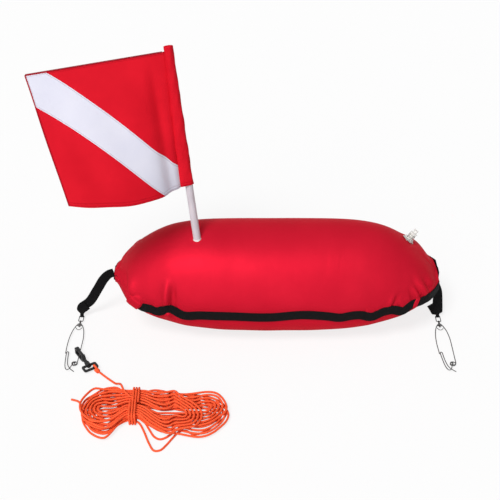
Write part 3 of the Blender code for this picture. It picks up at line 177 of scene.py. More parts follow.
# A flat ribbon with rounded edges: its section is across * |cos|^p wide and thick * |sin|^q deep
def ribbon(name, centres, widths, sizes, thickness, sides=20):
    forward = unit(np.gradient(centres, axis=0))
    widths = unit(widths - forward * np.sum(widths * forward, -1, keepdims=True))
    facing = np.cross(widths, forward)
    angle = 2 * np.pi * (np.arange(sides) + 0.5) / sides
    across = np.sign(np.cos(angle)) * np.abs(np.cos(angle)) ** edgePowers[0]
    through = np.sign(np.sin(angle)) * np.abs(np.sin(angle)) ** edgePowers[1]
    sizes = np.broadcast_to(np.asarray(sizes, float), len(centres))
    points = (
        centres[:, None]
        + (sizes / 2)[:, None, None] * across[None, :, None] * widths[:, None]
        + thickness / 2 * through[None, :, None] * facing[:, None]
    )
    run = runLength(centres)
    place = np.append(across, across[0])[None, :] * (sizes / 2)[:, None]
    uv = np.stack([np.broadcast_to(run[:, None], place.shape), place], -1)
    return surface(name, points, uv, around=True, firstEnd=True, lastEnd=True, flip=True)


# A wall: offset -1 is all of it inwards, 0 half each way, 1 all outwards
def thicken(item, thickness, offset):
    wall = item.modifiers.new("wall", "SOLIDIFY")
    wall.thickness = thickness
    wall.offset = offset


# Values of all of a mesh's parts, a row for each
def meshArray(parts, attribute, width=3):
    values = np.zeros(len(parts) * width)
    parts.foreach_get(attribute, values)
    return values.reshape(-1, width)


# Turns every face over if most of their area looks at an inner point
def outwardFaces(item, inside=(0.0, 0.0, 0.0)):
    mesh = item.data
    normals, centres = (meshArray(mesh.polygons, name) for name in ("normal", "center"))
    areas = meshArray(mesh.polygons, "area", 1)
    if np.sum(np.sum(normals * (centres - inside), -1, keepdims=True) * areas) < 0:
        mesh.flip_normals()


# The body a piece rides on, and the solid it takes the place of
def enlist(item, body, node):
    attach(item, body)
    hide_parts(node)


# Float: half width, ridge and keel are powers of the share of the way to the tip; the seam waves between them
floatBody = {
    "halfLength": 0.402,
    "endShare": 0.985,
    "halfWidth": 0.148,
    "baseHeight": 0.0865,
    "baseRise": 0.033,
    "seamHeight": 0.0935,
    "seamRise": 0.025675,
    "topRise": 0.160,
    "bellyDrop": 0.093,
    "tipRise": 0.004,
    "planPower": 2.6,
    "seamPower": 3.0,
    "ridgePowers": (5.0, 1.4),
    "bellyPowers": (4.0, 0.8),
    "waveHeight": 0.011,
    "waves": (
        (-0.80, 0.05, -1.0),
        (-0.71, 0.045, -0.9),
        (-0.63, 0.045, 0.7),
        (-0.54, 0.06, -0.6),
        (-0.25, 0.15, 0.3),
        (0.15, 0.15, 0.8),
        (0.37, 0.05, -0.4),
        (0.56, 0.05, -1.0),
        (0.655, 0.04, -0.1),
        (0.745, 0.045, -1.25),
        (0.87, 0.05, -0.6),
    ),
    # by side: where the pinch begins and ends, and its loss
    "pinch": {-1: (0.865, 0.975, 0.52), 1: (0.90, 0.985, 0.16)},
    "lift": (-0.955, 0.035, 0.009),
    "lowest": 0.0006,
    "wall": 0.0008,
    "chamber": 0.93,
    "chamberTips": (0.80, 0.97, 0.30),
    "inside": (0.0, 0.0, 0.12),
}
tipAlong = floatBody["endShare"] * floatBody["halfLength"]
# The cover's cloth: its grid and simulation, and how far the result may move out and in from the plain form
cloth = {
    "rows": 150,
    "columns": 136,
    "endCrowding": 0.55,
    "seamCrowding": 0.27,
    "start": 0.002,
    "cap": 0.008,
    "inwardCap": 0.0015,
    "frames": 22,
    "groupSteps": 20,
    "gatherFrom": 0.45,
    "gatherOver": 0.4,
    "gatherReach": 0.045,
    "settings": {
        "quality": 6,
        "mass": 0.15,
        "air_damping": 3,
        "tension_stiffness": 40,
        "compression_stiffness": 40,
        "shear_stiffness": 15,
        "bending_stiffness": 0.5,
        "use_pressure": True,
        "uniform_pressure_force": 5.0,
        "vertex_group_mass": "held",
        "pin_stiffness": 5,
        "shrink_min": 0.0,
        "shrink_max": -0.05,
        "vertex_group_shrink": "spare",
    },
}
# What holds the cloth: the seam and the tips, the floor, and places with a reach round the pole and the valve
held = {
    "seam": (0.017, 0.007),
    "tip": (0.008, 0.006),
    "floor": (0.004, 0.003),
    "tipFreedom": 0.35,
    "fittings": (((-0.189, -0.034, 0.240), 0.022), ((0.322, 0.030, 0.197), 0.026)),
    "fittingFade": 0.008,
}
# How the cloth swells off the webbing's edges: above and below the seam, and a hollow filled behind the valve
swell = {
    "upper": 0.0085,
    "lower": 0.003,
    "begin": 0.0095,
    "beginReach": 0.010,
    "fade": 0.10,
    "tipFade": 0.10,
    "behind": (0.338, 0.035, 0.060, 0.040, 0.005),
    "ripple": (0.0012, 61, 40, 0.05),
}
# The air chamber's pocket for the pole's socket: its mouth, the way out, its depth, and its widths
pocket = {
    "mouth": (-0.189, -0.034, 0.2397),
    "outward": (-0.125, 0.2563, 0.9585),
    "depth": 0.125,
    "floor": 0.016,
    "edge": 0.030,
}
# Puckers at the seam: along, slant, length up the cloth, half width, depth, then the bulge beside it
puckers = (
    (-0.247, 0.05, 0.080, 0.0058, 0.0105, -1.2),
    (-0.362, 0.05, 0.075, 0.0060, 0.0050, 1.0),
    (-0.300, 0.30, 0.035, 0.0040, 0.0016, 0.5),
    (0.205, 0.10, 0.030, 0.0030, 0.0020, 0.5),
    (0.234, -0.15, 0.026, 0.0030, 0.0020, 0.5),
    (0.270, 0.35, 0.055, 0.0044, 0.0050, -0.8),
    (0.296, -0.45, 0.045, 0.0040, 0.0026, 0.6),
    (0.330, -0.35, 0.070, 0.0050, 0.0062, 0.8),
    (0.352, -0.52, 0.085, 0.0050, 0.0078, 0.8),
    (0.376, -0.55, 0.065, 0.0044, 0.0062, 0.8),
)
# Where loose cloth overlaps the webbing: middle along, half length, how far out, and its edge's slant
overlaps = (
    (-0.3635, 0.0400, 0.0050, 0.47),
    (-0.3385, 0.0150, 0.0085, 0.47),
    (0.3325, 0.0076, 0.0046, 0.3),
)
backOverlaps = ((-0.384, 0.030, 0.0045, 0.0), (0.388, 0.026, 0.0045, 0.0))
# Shape of a pucker: how it widens up the cloth, its bulge's place and spread, its lower share, and its fades
pucker = {"widening": 6, "bulge": (2.0, 2.2), "lower": 0.6, "fade": 0.7, "start": (0.008, 0.010)}
# Shape of an overlap: its ends' softness, and where it fades below the seam, above it and at the tips
overlap = {"soft": (0.004, 0.6, 0.011), "below": (0.018, 0.006), "above": (0.05, 0.03), "tips": 0.006}


# Share of the half length, kept between the tips
def shareAlong(along):
    return np.clip(along / floatBody["halfLength"], -floatBody["endShare"], floatBody["endShare"])


# Height that the seam's waves add: a sum of bell curves, and a lift near the left tip
def seamWave(along):
    signed = shareAlong(along)
    wave = sum(
        height * np.exp(-(((signed - middle) / reach) ** 2)) for middle, reach, height in floatBody["waves"]
    )
    middle, reach, rise = floatBody["lift"]
    tip = ease((floatBody["endShare"] - np.abs(signed)) / 0.02)
    return floatBody["waveHeight"] * wave + rise * np.exp(-(((signed - middle) / reach) ** 2)) * tip


# Half width, seam height, and how far the ridge is over it and the keel under it: powers of the share along
# Ridge and keel don't follow the seam's waves
def bodySection(along):
    body = floatBody
    signed = shareAlong(along)
    share = np.abs(signed)
    halfWidth = body["halfWidth"] * (1 - share ** body["planPower"]) ** (1 / body["planPower"])
    for side, (begin, finish, loss) in body["pinch"].items():
        halfWidth = halfWidth * (1 - loss * ease((signed * side - begin) / (finish - begin)))
    seam = body["seamHeight"] + body["seamRise"] * share ** body["seamPower"] + seamWave(along)
    base = body["baseHeight"] + body["baseRise"] * share ** body["seamPower"]
    first, second = body["ridgePowers"]
    ridge = base + body["topRise"] * (1 - share**first) ** second + body["tipRise"]
    first, second = body["bellyPowers"]
    keel = base - body["bellyDrop"] * (1 - share**first) ** second - body["tipRise"]
    return halfWidth, seam, ridge - seam, seam - keel


# Each ring is an ellipse's upper and lower half about the seam, cut off level at the floor
def bodySurface(along, angle):
    halfWidth, seam, top, belly = bodySection(along)
    rise = np.where(np.sin(angle) > 0, top, belly)
    level = 1 - np.abs(np.sin(angle))
    height = seam + rise * np.sin(angle) - seamWave(along) * (level - level**3)
    return np.stack([along + 0 * angle, -halfWidth * np.cos(angle), np.maximum(0, height)], -1)


# How far the cloth stands out: a swell that starts at the webbing's edges, less each pucker's valley
def standOut(along, away, upper, front):
    shares = np.abs(along / floatBody["halfLength"])
    begin = 1 - np.exp(-np.maximum(0, away - swell["begin"]) / swell["beginReach"])
    tip = ease((floatBody["endShare"] - shares) / swell["tipFade"])
    out = np.where(upper, swell["upper"], swell["lower"]) * begin * np.exp(-away / swell["fade"]) * tip
    place, reach, middle, width, fill = swell["behind"]
    behind = np.exp(-(((along - place) / reach) ** 2)) * np.exp(-(((away - middle) / width) ** 2))
    out = out + np.where(front | ~upper, 0, fill * behind)
    height, acrossTurns, upTurns, reach = swell["ripple"]
    out = out + height * np.sin(along * acrossTurns + upTurns * away) * begin * np.exp(-away / reach)
    mirrored = np.where(front, along, -along)
    shift, spread = pucker["bulge"]
    start, over = pucker["start"]
    for place, slant, length, width, depth, beside in puckers:
        offset = (mirrored - place - slant * away) / (width * (1 + pucker["widening"] * away))
        bulge = abs(beside) * np.exp(-((offset - shift * np.sign(beside)) ** 2) / spread)
        fade = ease((length * np.where(upper, 1, pucker["lower"]) - away) / (pucker["fade"] * length))
        out = out + depth * (bulge - np.exp(-(offset**2))) * (fade * ease((away - start) / over))
    for seen, entries in ((front, overlaps), (~front, backOverlaps)):
        for place, reach, rise, slope in entries:
            low = np.where(upper, away, -away)
            least, growth, start = overlap["soft"]
            soft = least + growth * np.maximum(0, away - start)
            inside = ease((reach - np.abs(along - place - slope * low)) / soft)
            end, over = overlap["below"]
            across = np.where(upper, 1, ease((end - away) / over))
            end, over = overlap["above"]
            near = ease((end - away) / over) * ease((tipAlong - np.abs(along)) / overlap["tips"])
            out = np.where(seen, np.maximum(out, rise * inside * across * near), out)
    return out


# Shares held in place: along the seam, at the ends, on the floor and round the fittings
def heldParts(along, points):
    seamPoints = bodySurface(along[:, None], np.array([0.0, np.pi])[None, :])
    away = np.linalg.norm(points[:, :, None] - seamPoints[:, None], axis=-1).min(axis=-1)
    reach, fade = held["tip"]
    ends = ease((np.abs(along) - tipAlong + reach) / fade)[:, None] + 0 * away
    reach, fade = held["floor"]
    flat = ease((reach - points[..., 2]) / fade)
    fittings = 0 * away
    for place, reach in held["fittings"]:
        near = (reach - np.linalg.norm(points - place, axis=-1)) / held["fittingFade"]
        fittings = np.maximum(fittings, ease(near))
    reach, fade = held["seam"]
    pinned = np.maximum.reduce([ease((reach - away) / fade), ends, flat, fittings])
    return pinned, ends, flat, fittings, away


# Twice as fine a grid: each new value is (9 near ones - 1 far one) / 16 from both sides
def finer(values, around):
    if around:
        before, after, last = np.roll(values, 1, 0), np.roll(values, -1, 0), np.roll(values, -2, 0)
        between = (9 * (values + after) - before - last) / 16
        return np.stack([values, between], 1).reshape(-1, *values.shape[1:])
    padded = np.concatenate([2 * values[:1] - values[1:2], values, 2 * values[-1:] - values[-2:-1]])
    between = (9 * (padded[1:-2] + padded[2:-1]) - padded[:-3] - padded[3:]) / 16
    paired = np.stack([values[:-1], between], 1).reshape(-1, *values.shape[1:])
    return np.concatenate([paired, values[-1:]])


# Finer along, then around
def finerGrid(values):
    return np.swapaxes(finer(np.swapaxes(finer(values, False), 0, 1), True), 0, 1)


# Angles round a ring, crowded towards the seam's two sides
def ringAngles(count):
    turn = 2 * np.pi * np.arange(count) / count
    return turn - cloth["seamCrowding"] * np.sin(2 * turn)


# How far a held shell moves when a cloth simulation blows it up, capped outwards and inwards
def simulate(shell, points, normals, pinned, gather):
    for name, weights in (("held", pinned), ("spare", gather)):
        group = shell.vertex_groups.new(name=name)
        levels = np.round(weights.ravel() * cloth["groupSteps"]).astype(int)
        for level in np.unique(levels[levels > 0]):
            group.add(np.flatnonzero(levels == level).tolist(), level / cloth["groupSteps"], "REPLACE")
    modifier = shell.modifiers.new("cloth", "CLOTH")
    for label, value in cloth["settings"].items():
        setattr(modifier.settings, label, value)
    modifier.settings.effector_weights.gravity = 0
    scene = bpy.context.scene
    for index in range(1, cloth["frames"] + 1):
        scene.frame_set(index)
    blown = shell.evaluated_get(bpy.context.evaluated_depsgraph_get())
    move = meshArray(blown.to_mesh().vertices, "co").reshape(points.shape) - points
    blown.to_mesh_clear()
    scene.frame_set(1)
    size = np.linalg.norm(move, axis=-1, keepdims=True)
    print("cloth moved by", np.round(np.percentile(size, (50, 90, 99, 100)) * 1000, 1), "mm")
    move = move * np.minimum(1, cloth["cap"] / np.maximum(size, 1e-9))
    depth = np.sum(move * normals, -1, keepdims=True)
    return move + normals * np.maximum(0, -depth - cloth["inwardCap"])


# The cover sewn shut: a closed shell held along the seam, given spare cloth near the ends and blown up
# Its moves are then carried over to a grid twice as fine, which gets the puckers
def inflateCover():
    share = np.linspace(-1, 1, cloth["rows"])
    crowding = cloth["endCrowding"]
    along = tipAlong * ((1 - crowding) * share + crowding * np.sin(np.pi * share / 2))
    points = bodySurface(along[:, None], ringAngles(cloth["columns"])[None, :])
    middle = np.stack([along, 0 * along, bodySection(along)[1]], -1)[:, None]
    shell = surface("shell", points, around=True, firstEnd=True, lastEnd=True)
    mesh = shell.data
    normals = meshArray(mesh.vertices, "normal").reshape(points.shape)
    outward = np.sign(np.sum(normals * (points - middle), -1, keepdims=True).sum())
    normals *= outward
    if outward < 0:
        mesh.flip_normals()
    inset = points - normals * cloth["start"]
    inset[..., 2] = np.maximum(inset[..., 2], floatBody["lowest"])
    mesh.vertices.foreach_set("co", inset.astype(np.float32).ravel())
    mesh.update()
    pinned, ends, flat, fittings, away = heldParts(along, points)
    reach = np.abs(along / tipAlong)[:, None]
    gather = ease((reach - cloth["gatherFrom"]) / cloth["gatherOver"])
    gather = gather * np.exp(-((away / cloth["gatherReach"]) ** 2))
    move = simulate(shell, points, normals, pinned, gather)
    bpy.data.objects.remove(shell)

    along = finer(along, False)
    angle = ringAngles(2 * cloth["columns"])[None, :]
    points = bodySurface(along[:, None], angle)
    move, normals = finerGrid(move), unit(finerGrid(normals))
    pinned, ends, flat, fittings, away = heldParts(along, points)
    out = standOut(along[:, None], away, np.sin(angle) > 0, np.cos(angle) > 0)
    free = 1 - np.maximum(held["tipFreedom"] * ends, np.maximum(flat, fittings))
    final = points + move * (1 - pinned[..., None] ** 2) + normals * (out * free)[..., None]
    final[..., 2] = np.maximum(final[..., 2], floatBody["lowest"])
    return along, points, final


# The cover's two panels, and in them the air chamber: the cover shrunk towards its middle line
def buildCover():
    body = floatBody
    along, still, blown = inflateCover()
    half = cloth["columns"]
    ringLength = np.linalg.norm(np.diff(still, axis=1, append=still[:, :1]), axis=-1).max(axis=0)
    around = np.concatenate([[0], np.cumsum(ringLength)])
    closed = np.concatenate([blown, blown[:, :1]], 1)
    uv = np.stack(np.meshgrid(along, around, indexing="ij"), -1)
    panels = []
    for name, node, columns in (
        ("coverTop", "cover_top", slice(0, half + 1)),
        ("coverBottom", "cover_bottom", slice(half, 2 * half + 1)),
    ):
        item = surface(name, closed[:, columns], uv[:, columns], firstEnd=True, lastEnd=True)
        thicken(item, body["wall"], -1)
        enlist(item, "float", node)
        panels.append(item)
    centre = np.stack([along * body["endShare"], 0 * along, bodySection(along)[1]], -1)[:, None]
    begin, finish, loss = body["chamberTips"]
    fill = body["chamber"] - loss * ease((np.abs(along) / tipAlong - begin) / (finish - begin))
    inner = (centre + (blown - centre) * fill[:, None, None])[::3, ::2]
    outward = unit(pocket["outward"])
    offset = inner - pocket["mouth"]
    rise = offset @ outward
    aside = np.linalg.norm(offset - rise[..., None] * outward, axis=-1)
    sunk = ease((pocket["edge"] - aside) / (pocket["edge"] - pocket["floor"])) * (rise > -pocket["depth"] / 2)
    inner = inner - outward * (pocket["depth"] * sunk)[..., None]
    chamber = surface("airChamber", inner, uv[::3, ::2], around=True, firstEnd=True, lastEnd=True)
    enlist(chamber, "float", "bladder")
    for item in (*panels, chamber):
        outwardFaces(item, body["inside"])
    return panels, chamber


coverPanels, airChamber = buildCover()
print("float cover made")

# Webbing: a strip along the seam, standing on its edge
webbing = {
    "width": 0.025,
    "thickness": 0.0015,
    "gap": 0.0003,
    "stations": 360,
    "gathered": 0.011,
    "gatherOver": (0.006, 0.030),
    "droop": (0.013, 0.352, 0.034),
    "tipSteps": 8,
}


# The seam's line with a short run across each tip, moved out by half the webbing; it narrows at the left tip
def buildEdgeWebbing(name, node, side):
    along = tipAlong * np.sin(np.pi * (np.linspace(0, 1, webbing["stations"]) - 0.5))
    halfWidth, seam = bodySection(along)[:2]
    if side < 0:
        drop, begin, over = webbing["droop"]
        seam = seam - drop * ease((along - begin) / over)
    line = np.stack([along, side * halfWidth, seam], -1)
    steps = webbing["tipSteps"]
    across = side * np.linspace(webbing["gap"] / 2, halfWidth[0], steps + 1)[:-1]
    firstRun = np.stack([np.full(steps, -tipAlong), across, np.full(steps, seam[0])], -1)
    lastRun = firstRun[::-1] * (-1, 1, 1) + (0, 0, seam[-1] - seam[0])
    line = np.concatenate([firstRun, line, lastRun])
    flatRun = np.gradient(line, axis=0)
    facing = unit(np.stack([flatRun[:, 1], -flatRun[:, 0], 0 * flatRun[:, 0]], -1))
    facing *= np.sign(np.sum(facing * line * (1, 1, 0), -1, keepdims=True) + 1e-12)
    centres = line + facing * (webbing["gap"] + webbing["thickness"] / 2)
    begin, over = webbing["gatherOver"]
    near = ease((tipAlong - begin + line[:, 0]) / over)
    sizes = webbing["gathered"] + (webbing["width"] - webbing["gathered"]) * near
    upward = np.broadcast_to((0.0, 0.0, 1.0), centres.shape)
    item = ribbon(name, centres, upward, sizes, webbing["thickness"])
    outwardFaces(item, (0, -side * 0.05, 0.09))
    enlist(item, "float", node)
    return item


webbingPieces = [
    buildEdgeWebbing("seamWebbingFront", "edge_webbing_front", -1),
    buildEdgeWebbing("seamWebbingBack", "edge_webbing_back", 1),
]

# Clips: places in a clip's own plane, across and along from the top of its wire
clip = {
    "height": 0.0011 + 1.75 * 0.0026,
    "left": (-0.485, -0.064, -2.0),
    "right": (0.4045, -0.065, 0.0),
    "eyeDistance": 0.033,
    "eyeWire": 0.0011,
}


# The clip's place, with across and along turned by its angle
def clipPoint(side, across, along, lift=0.0):
    x, y, turn = clip[side]
    turn = math.radians(turn)
    forwards = np.array((math.sin(turn), -math.cos(turn), 0))
    sideways = np.array((-forwards[1], forwards[0], 0))
    return np.array((x, y, clip["height"] + lift)) + sideways * across + forwards * along


# Straps: shares of the way from the tip to the swivel, the bow sideways, and the width's direction
strap = {
    "bow": 0.016,
    "arrival": (0.0, -0.45, -0.89),
    "bunchWidth": 0.0085,
    "bunchLength": 0.005,
    "bunchRun": 0.016,
    "foldSteps": 15,
    "gatherLength": {"left": 0.013, "right": 0.007},
    "slew": {"left": 0.20, "right": 0.55},
    "turnBack": 0.034,
    "stitchGap": 0.0006,
    "patch": 0.009,
    "swingGap": 0.0009,
    "steps": 14,
    "left": (
        ((0.0, 0.0, 0.0, 0.0), (0.0, 0.0, 1.0)),
        ((0.14, 0.05, 0.03, 0.0), (0.12, 0.0, 1.0)),
        ((0.30, 0.16, 0.14, 0.0), (0.50, 0.0, 0.85)),
        ((0.50, 0.36, 0.38, 0.0), (0.75, -0.05, 0.66)),
        ((0.74, 0.60, 0.66, 0.0), (0.80, 0.0, 0.60)),
    ),
    "right": (
        ((0.0, 0.0, 0.0, 0.0), (0.0, 1.0, 0.0)),
        ((0.0, 0.0, 0.10, 0.0), (0.0, 1.0, 0.0)),
        ((0.0, 0.0, 0.19, 0.0), (0.0, 1.0, 0.0)),
        ((0.02, 0.02, 0.26, 0.01), (0.04, 1.0, 0.0)),
        ((0.20, 0.12, 0.38, 0.10), (0.45, 0.88, 0.0)),
        ((0.45, 0.28, 0.52, 0.12), (0.87, 0.50, 0.0)),
        ((0.75, 0.50, 0.68, 0.0), (1.0, 0.10, 0.0)),
    ),
}


# From the tip down to the swivel's bar, gathered there, half a turn round it, and back on its own outside
def buildStrap(name, node, body, end, side):
    thickness = webbing["thickness"]
    patched = end == "right"
    seam = float(bodySection(np.array([tipAlong]))[1][0]) + (strap["patch"] if patched else 0)
    gap = webbing["gap"] + thickness / 2 if patched else strap["swingGap"]
    root = np.array((side * (tipAlong + webbing["gap"] + thickness + gap), 0, seam))
    fold = clipPoint(end, 0, -clip["eyeDistance"])
    bar = clipPoint(end, 1, 0) - clipPoint(end, 0, 0)
    arrival = np.array(strap["arrival"])
    arrival = unit(arrival - bar * (arrival @ bar))
    outside = np.cross(bar, arrival)
    radius = clip["eyeWire"] + webbing["gap"] + thickness / 2
    table = strap[end]
    shares = np.array([row[0] for row in table])
    facings = np.array([row[1] for row in table]) * (side, 1, 1)
    places = root + shares[:, :3] * (fold - root)
    places[:, 0] += side * shares[:, 3] * strap["bow"]
    gatherLength = strap["gatherLength"][end]
    runs = np.array((strap["bunchLength"] + strap["bunchRun"], strap["bunchLength"], 0))
    places = np.concatenate([places, fold + outside * radius - arrival * runs[:, None]])
    facings = np.concatenate([facings, np.repeat(bar[None] * side, 3, 0)])
    centres = splineThrough(places, strap["steps"])
    widths = splineThrough(facings, strap["steps"])
    forward = unit(np.gradient(centres, axis=0))
    widths = unit(widths - forward * np.sum(widths * forward, -1, keepdims=True))
    left = runLength(centres[::-1])[::-1]
    opening = ease((left - strap["bunchLength"]) / gatherLength)
    sizes = strap["bunchWidth"] + (webbing["width"] - strap["bunchWidth"]) * opening
    seated = thickness + strap["stitchGap"]
    share = ease(left / gatherLength)
    shift = np.cross(forward, widths) * side * (2 * radius + (seated - 2 * radius) * share)[:, None]
    turnedBack = (left > 0) & (left < strap["turnBack"])
    steps = strap["foldSteps"]
    angle = np.pi * np.arange(1, steps + 1)[:, None] / steps
    foldPoints = fold + radius * (outside * np.cos(angle) + arrival * np.sin(angle))
    aside = -side * bar * strap["slew"][end] * np.maximum(0, left - strap["bunchLength"])[:, None]
    backPoints = (centres + shift + aside)[turnedBack][::-1]
    centres = np.concatenate([centres, foldPoints, backPoints])
    widths = np.concatenate([widths, np.repeat(bar[None] * side, steps, 0), widths[turnedBack][::-1]])
    sizes = np.concatenate([sizes, np.full(steps, strap["bunchWidth"]), sizes[turnedBack][::-1]])
    item = ribbon(name, centres, widths, sizes, thickness)
    enlist(item, body, node)
    return item


strapPieces = [
    buildStrap("towStrapLeft", "strap_left", "left_strap", "left", -1),
    buildStrap("towStrapRight", "strap_right", "right_strap", "right", 1),
]
print("webbing and straps made")

# Pole and flag: the flag's grid runs from the sleeve to the fly and from the bottom edge to the top edge
flag = {
    "poleBase": (-0.189, -0.034, 0.2397),
    "poleLean": (-0.125, 0.2563, 0.9585),
    "poleRadius": 0.009,
    "poleLength": 0.4555,
    "hoist": 0.310,
    "drop": 0.008,
    "flyTop": (-0.3085, -0.039, -0.038),
    "flyBottom": (-0.2350, -0.1400, 0.0370),
    "curl": 0.045,
    "curlFacing": (0.1, -1.0, 0.0),
    "curlPower": 0.75,
    "curlFall": 1.5,
    "sewnIn": 0.0022,
    "sewnOver": 0.05,
    "thickness": 0.0008,
    "stripeHoist": 0.165,
    "stripeFly": 0.76,
    "stripeTop": 0.85,
    "stripeBottom": 0.14,
    "slackTop": 0.001,
    "slackBottom": 0.012,
    "gap": 0.0003,
    "capHead": 0.003,
    "rodRadius": 0.0012,
    "hemDepth": 0.007,
    "clothWidth": 0.315,
    "overlap": 0.002,
    "topWidth": 0.3133,
    "bottomWidth": 0.2913,
    "stripeShare": 0.315,
    "rows": 84,
    "columns": 72,
}
# Soft waves: the fold beside the sleeve, then waves by height, turns across, turns down, and how they fade
folds = {
    "beside": (0.0075, 0.085, 0.02, 0.045),
    "fade": (0.3, 0.05),
    "drape": (0.0028, 6.1, 2.4, 0.8),
    "fine": (0.0012, 17, 5.0, 0.4, 0.1),
    "top": (0.0016, 9, 3, 0.3, 0.15),
}
# The hem: where it runs, its stations and arc, how low the arc sits, and the cloth's width in it
hem = {"run": (0.004, 0.994), "stations": 90, "arc": 15, "sunk": 0.2, "clothWidth": 0.022}
# The sleeve: points round it and along it, its wrinkles, and the closing rings of its top
sleeve = {
    "around": 40,
    "stations": 90,
    "wrinkles": ((0.0007, 3, 24), (0.0004, 5, -40)),
    "smoothTop": 0.3,
    "deepest": 0.0004,
    "lids": ((0.0006, 0.82, 0.003), (0.0010, 0.45, 0.006), (0.0011, 0.04, 0.010)),
    "flatWidth": 0.070,
}
poleAxis = unit(np.array(flag["poleLean"]))


# The pole's base plus a distance along it
def polePoint(distance):
    return np.array(flag["poleBase"]) + np.asarray(distance)[..., None] * poleAxis


# From the sleeve to the fly: linear in height between the bottom's and the top's
def flyVector(height):
    low, high = np.array(flag["flyBottom"]), np.array(flag["flyTop"])
    return low + (high - low) * np.asarray(height)[..., None]


# The fly's direction with its part along the pole taken away
def hoistDirection(height):
    fly = flyVector(height)
    return unit(fly - np.sum(fly * poleAxis, -1, keepdims=True) * poleAxis)


# Slack grows linearly from none at the top edge
def sleeveSlack(height):
    return flag["slackBottom"] * (1 - np.clip(height, 0, 1))


# Cloth runs straight from sleeve to fly, bellied forwards low down, with soft folds beside the sleeve
def flagPoint(share, height):
    distance = flag["poleLength"] - flag["drop"] - (1 - height) * flag["hoist"]
    reach = flag["poleRadius"] + flag["slackTop"] + sleeveSlack(height) + flag["thickness"] + flag["gap"]
    reach = reach - flag["sewnIn"] * (1 - ease(share / flag["sewnOver"]))
    start = polePoint(distance) + hoistDirection(height) * reach[..., None]
    curl = flag["curl"] * np.sin(np.pi * share ** flag["curlPower"]) * (1 - height) ** flag["curlFall"]
    size, place, lean, width = folds["beside"]
    up, side = folds["fade"]
    fold = size * np.exp(-(((share - place - lean * height) / width) ** 2))
    fold = fold * ease((1 - height) / up) * ease(share / side)
    size, across, down, power = folds["drape"]
    drape = size * np.sin(across * share + down * (1 - height)) * share * (1 - height) ** power
    size, across, down, up, side = folds["fine"]
    drape += size * np.sin(across * share - down * height) * ease((1 - height) / up) * ease(share / side)
    size, down, across, side, up = folds["top"]
    hang = size * np.sin(down * height + across * share) * ease(share / side) * ease((1 - height) / up)
    out = curl - fold + drape + hang
    return start + flyVector(height) * share[..., None] + unit(flag["curlFacing"]) * out[..., None]


# The stripe's two edges: shares of the way to the fly, linear in height
def stripeNear(height):
    return flag["stripeTop"] * (height - flag["stripeHoist"]) / (1 - flag["stripeHoist"])


def stripeFar(height):
    return flag["stripeBottom"] + (1 - flag["stripeBottom"]) * height / flag["stripeFly"]


# A panel between two edges and two heights; the slot, flat size and area it is given are not used
def buildPanel(name, node, slot, heights, edges, flat, area, **more):
    height = np.linspace(*heights, flag["rows"])[:, None] + np.zeros((1, flag["columns"]))
    near, far = (edge(height) for edge in edges)
    share = near + (far - near) * np.linspace(0, 1, flag["columns"])[None, :]
    points = flagPoint(np.clip(share, 0, 1), height)
    uv = np.stack([share * flag["clothWidth"], height * flag["hoist"]], -1)
    item = surface(name, points, uv)
    thicken(item, flag["thickness"], 0)
    enlist(item, "flag", node)
    return item


# A sleeve of cloth round the pole, with its slack on the fly's side
def buildSleeve():
    bottom = flag["poleLength"] - flag["drop"] - flag["hoist"]
    top = flag["poleLength"] + 2 * flag["gap"] + flag["capHead"]
    distance = np.linspace(bottom, top, sleeve["stations"])
    height = np.clip((distance - bottom) / flag["hoist"], 0, 1)
    fly = hoistDirection(height)
    square = np.cross(np.broadcast_to(poleAxis, fly.shape), fly)
    angle = -2 * np.pi * np.arange(sleeve["around"]) / sleeve["around"]
    broad, fine = (
        size * np.sin(around * angle[None, :] + up * height[:, None]) for size, around, up in sleeve["wrinkles"]
    )
    wrinkle = broad * (sleeve["smoothTop"] + 1 - height[:, None]) + fine
    radius = flag["poleRadius"] + flag["slackTop"] + np.maximum(wrinkle, -sleeve["deepest"])
    ring = np.cos(angle)[None, :, None] * fly[:, None] + np.sin(angle)[None, :, None] * square[:, None]
    slack = (np.maximum(0, np.cos(angle))[None, :] * sleeveSlack(height)[:, None])[..., None] * fly[:, None]
    points = polePoint(distance)[:, None] + radius[..., None] * ring + slack
    rise, share, more = np.array(sleeve["lids"]).T
    closing = share[:, None, None] * (points[-1] - polePoint(np.array([top])))[None]
    points = np.concatenate([points, polePoint(top + rise)[:, None] + closing])
    run = np.append(distance - bottom, top - bottom + more)
    place = np.arange(sleeve["around"] + 1) / sleeve["around"] * 2 * np.pi * flag["poleRadius"]
    uv = np.stack(np.meshgrid(place, run, indexing="xy"), -1)
    item = surface("flagSleeve", points, uv, around=True, lastEnd=True)
    outwardFaces(item, polePoint(np.array(0.3)))
    thicken(item, flag["thickness"], 1)
    enlist(item, "flag", "flag_sleeve")
    return item


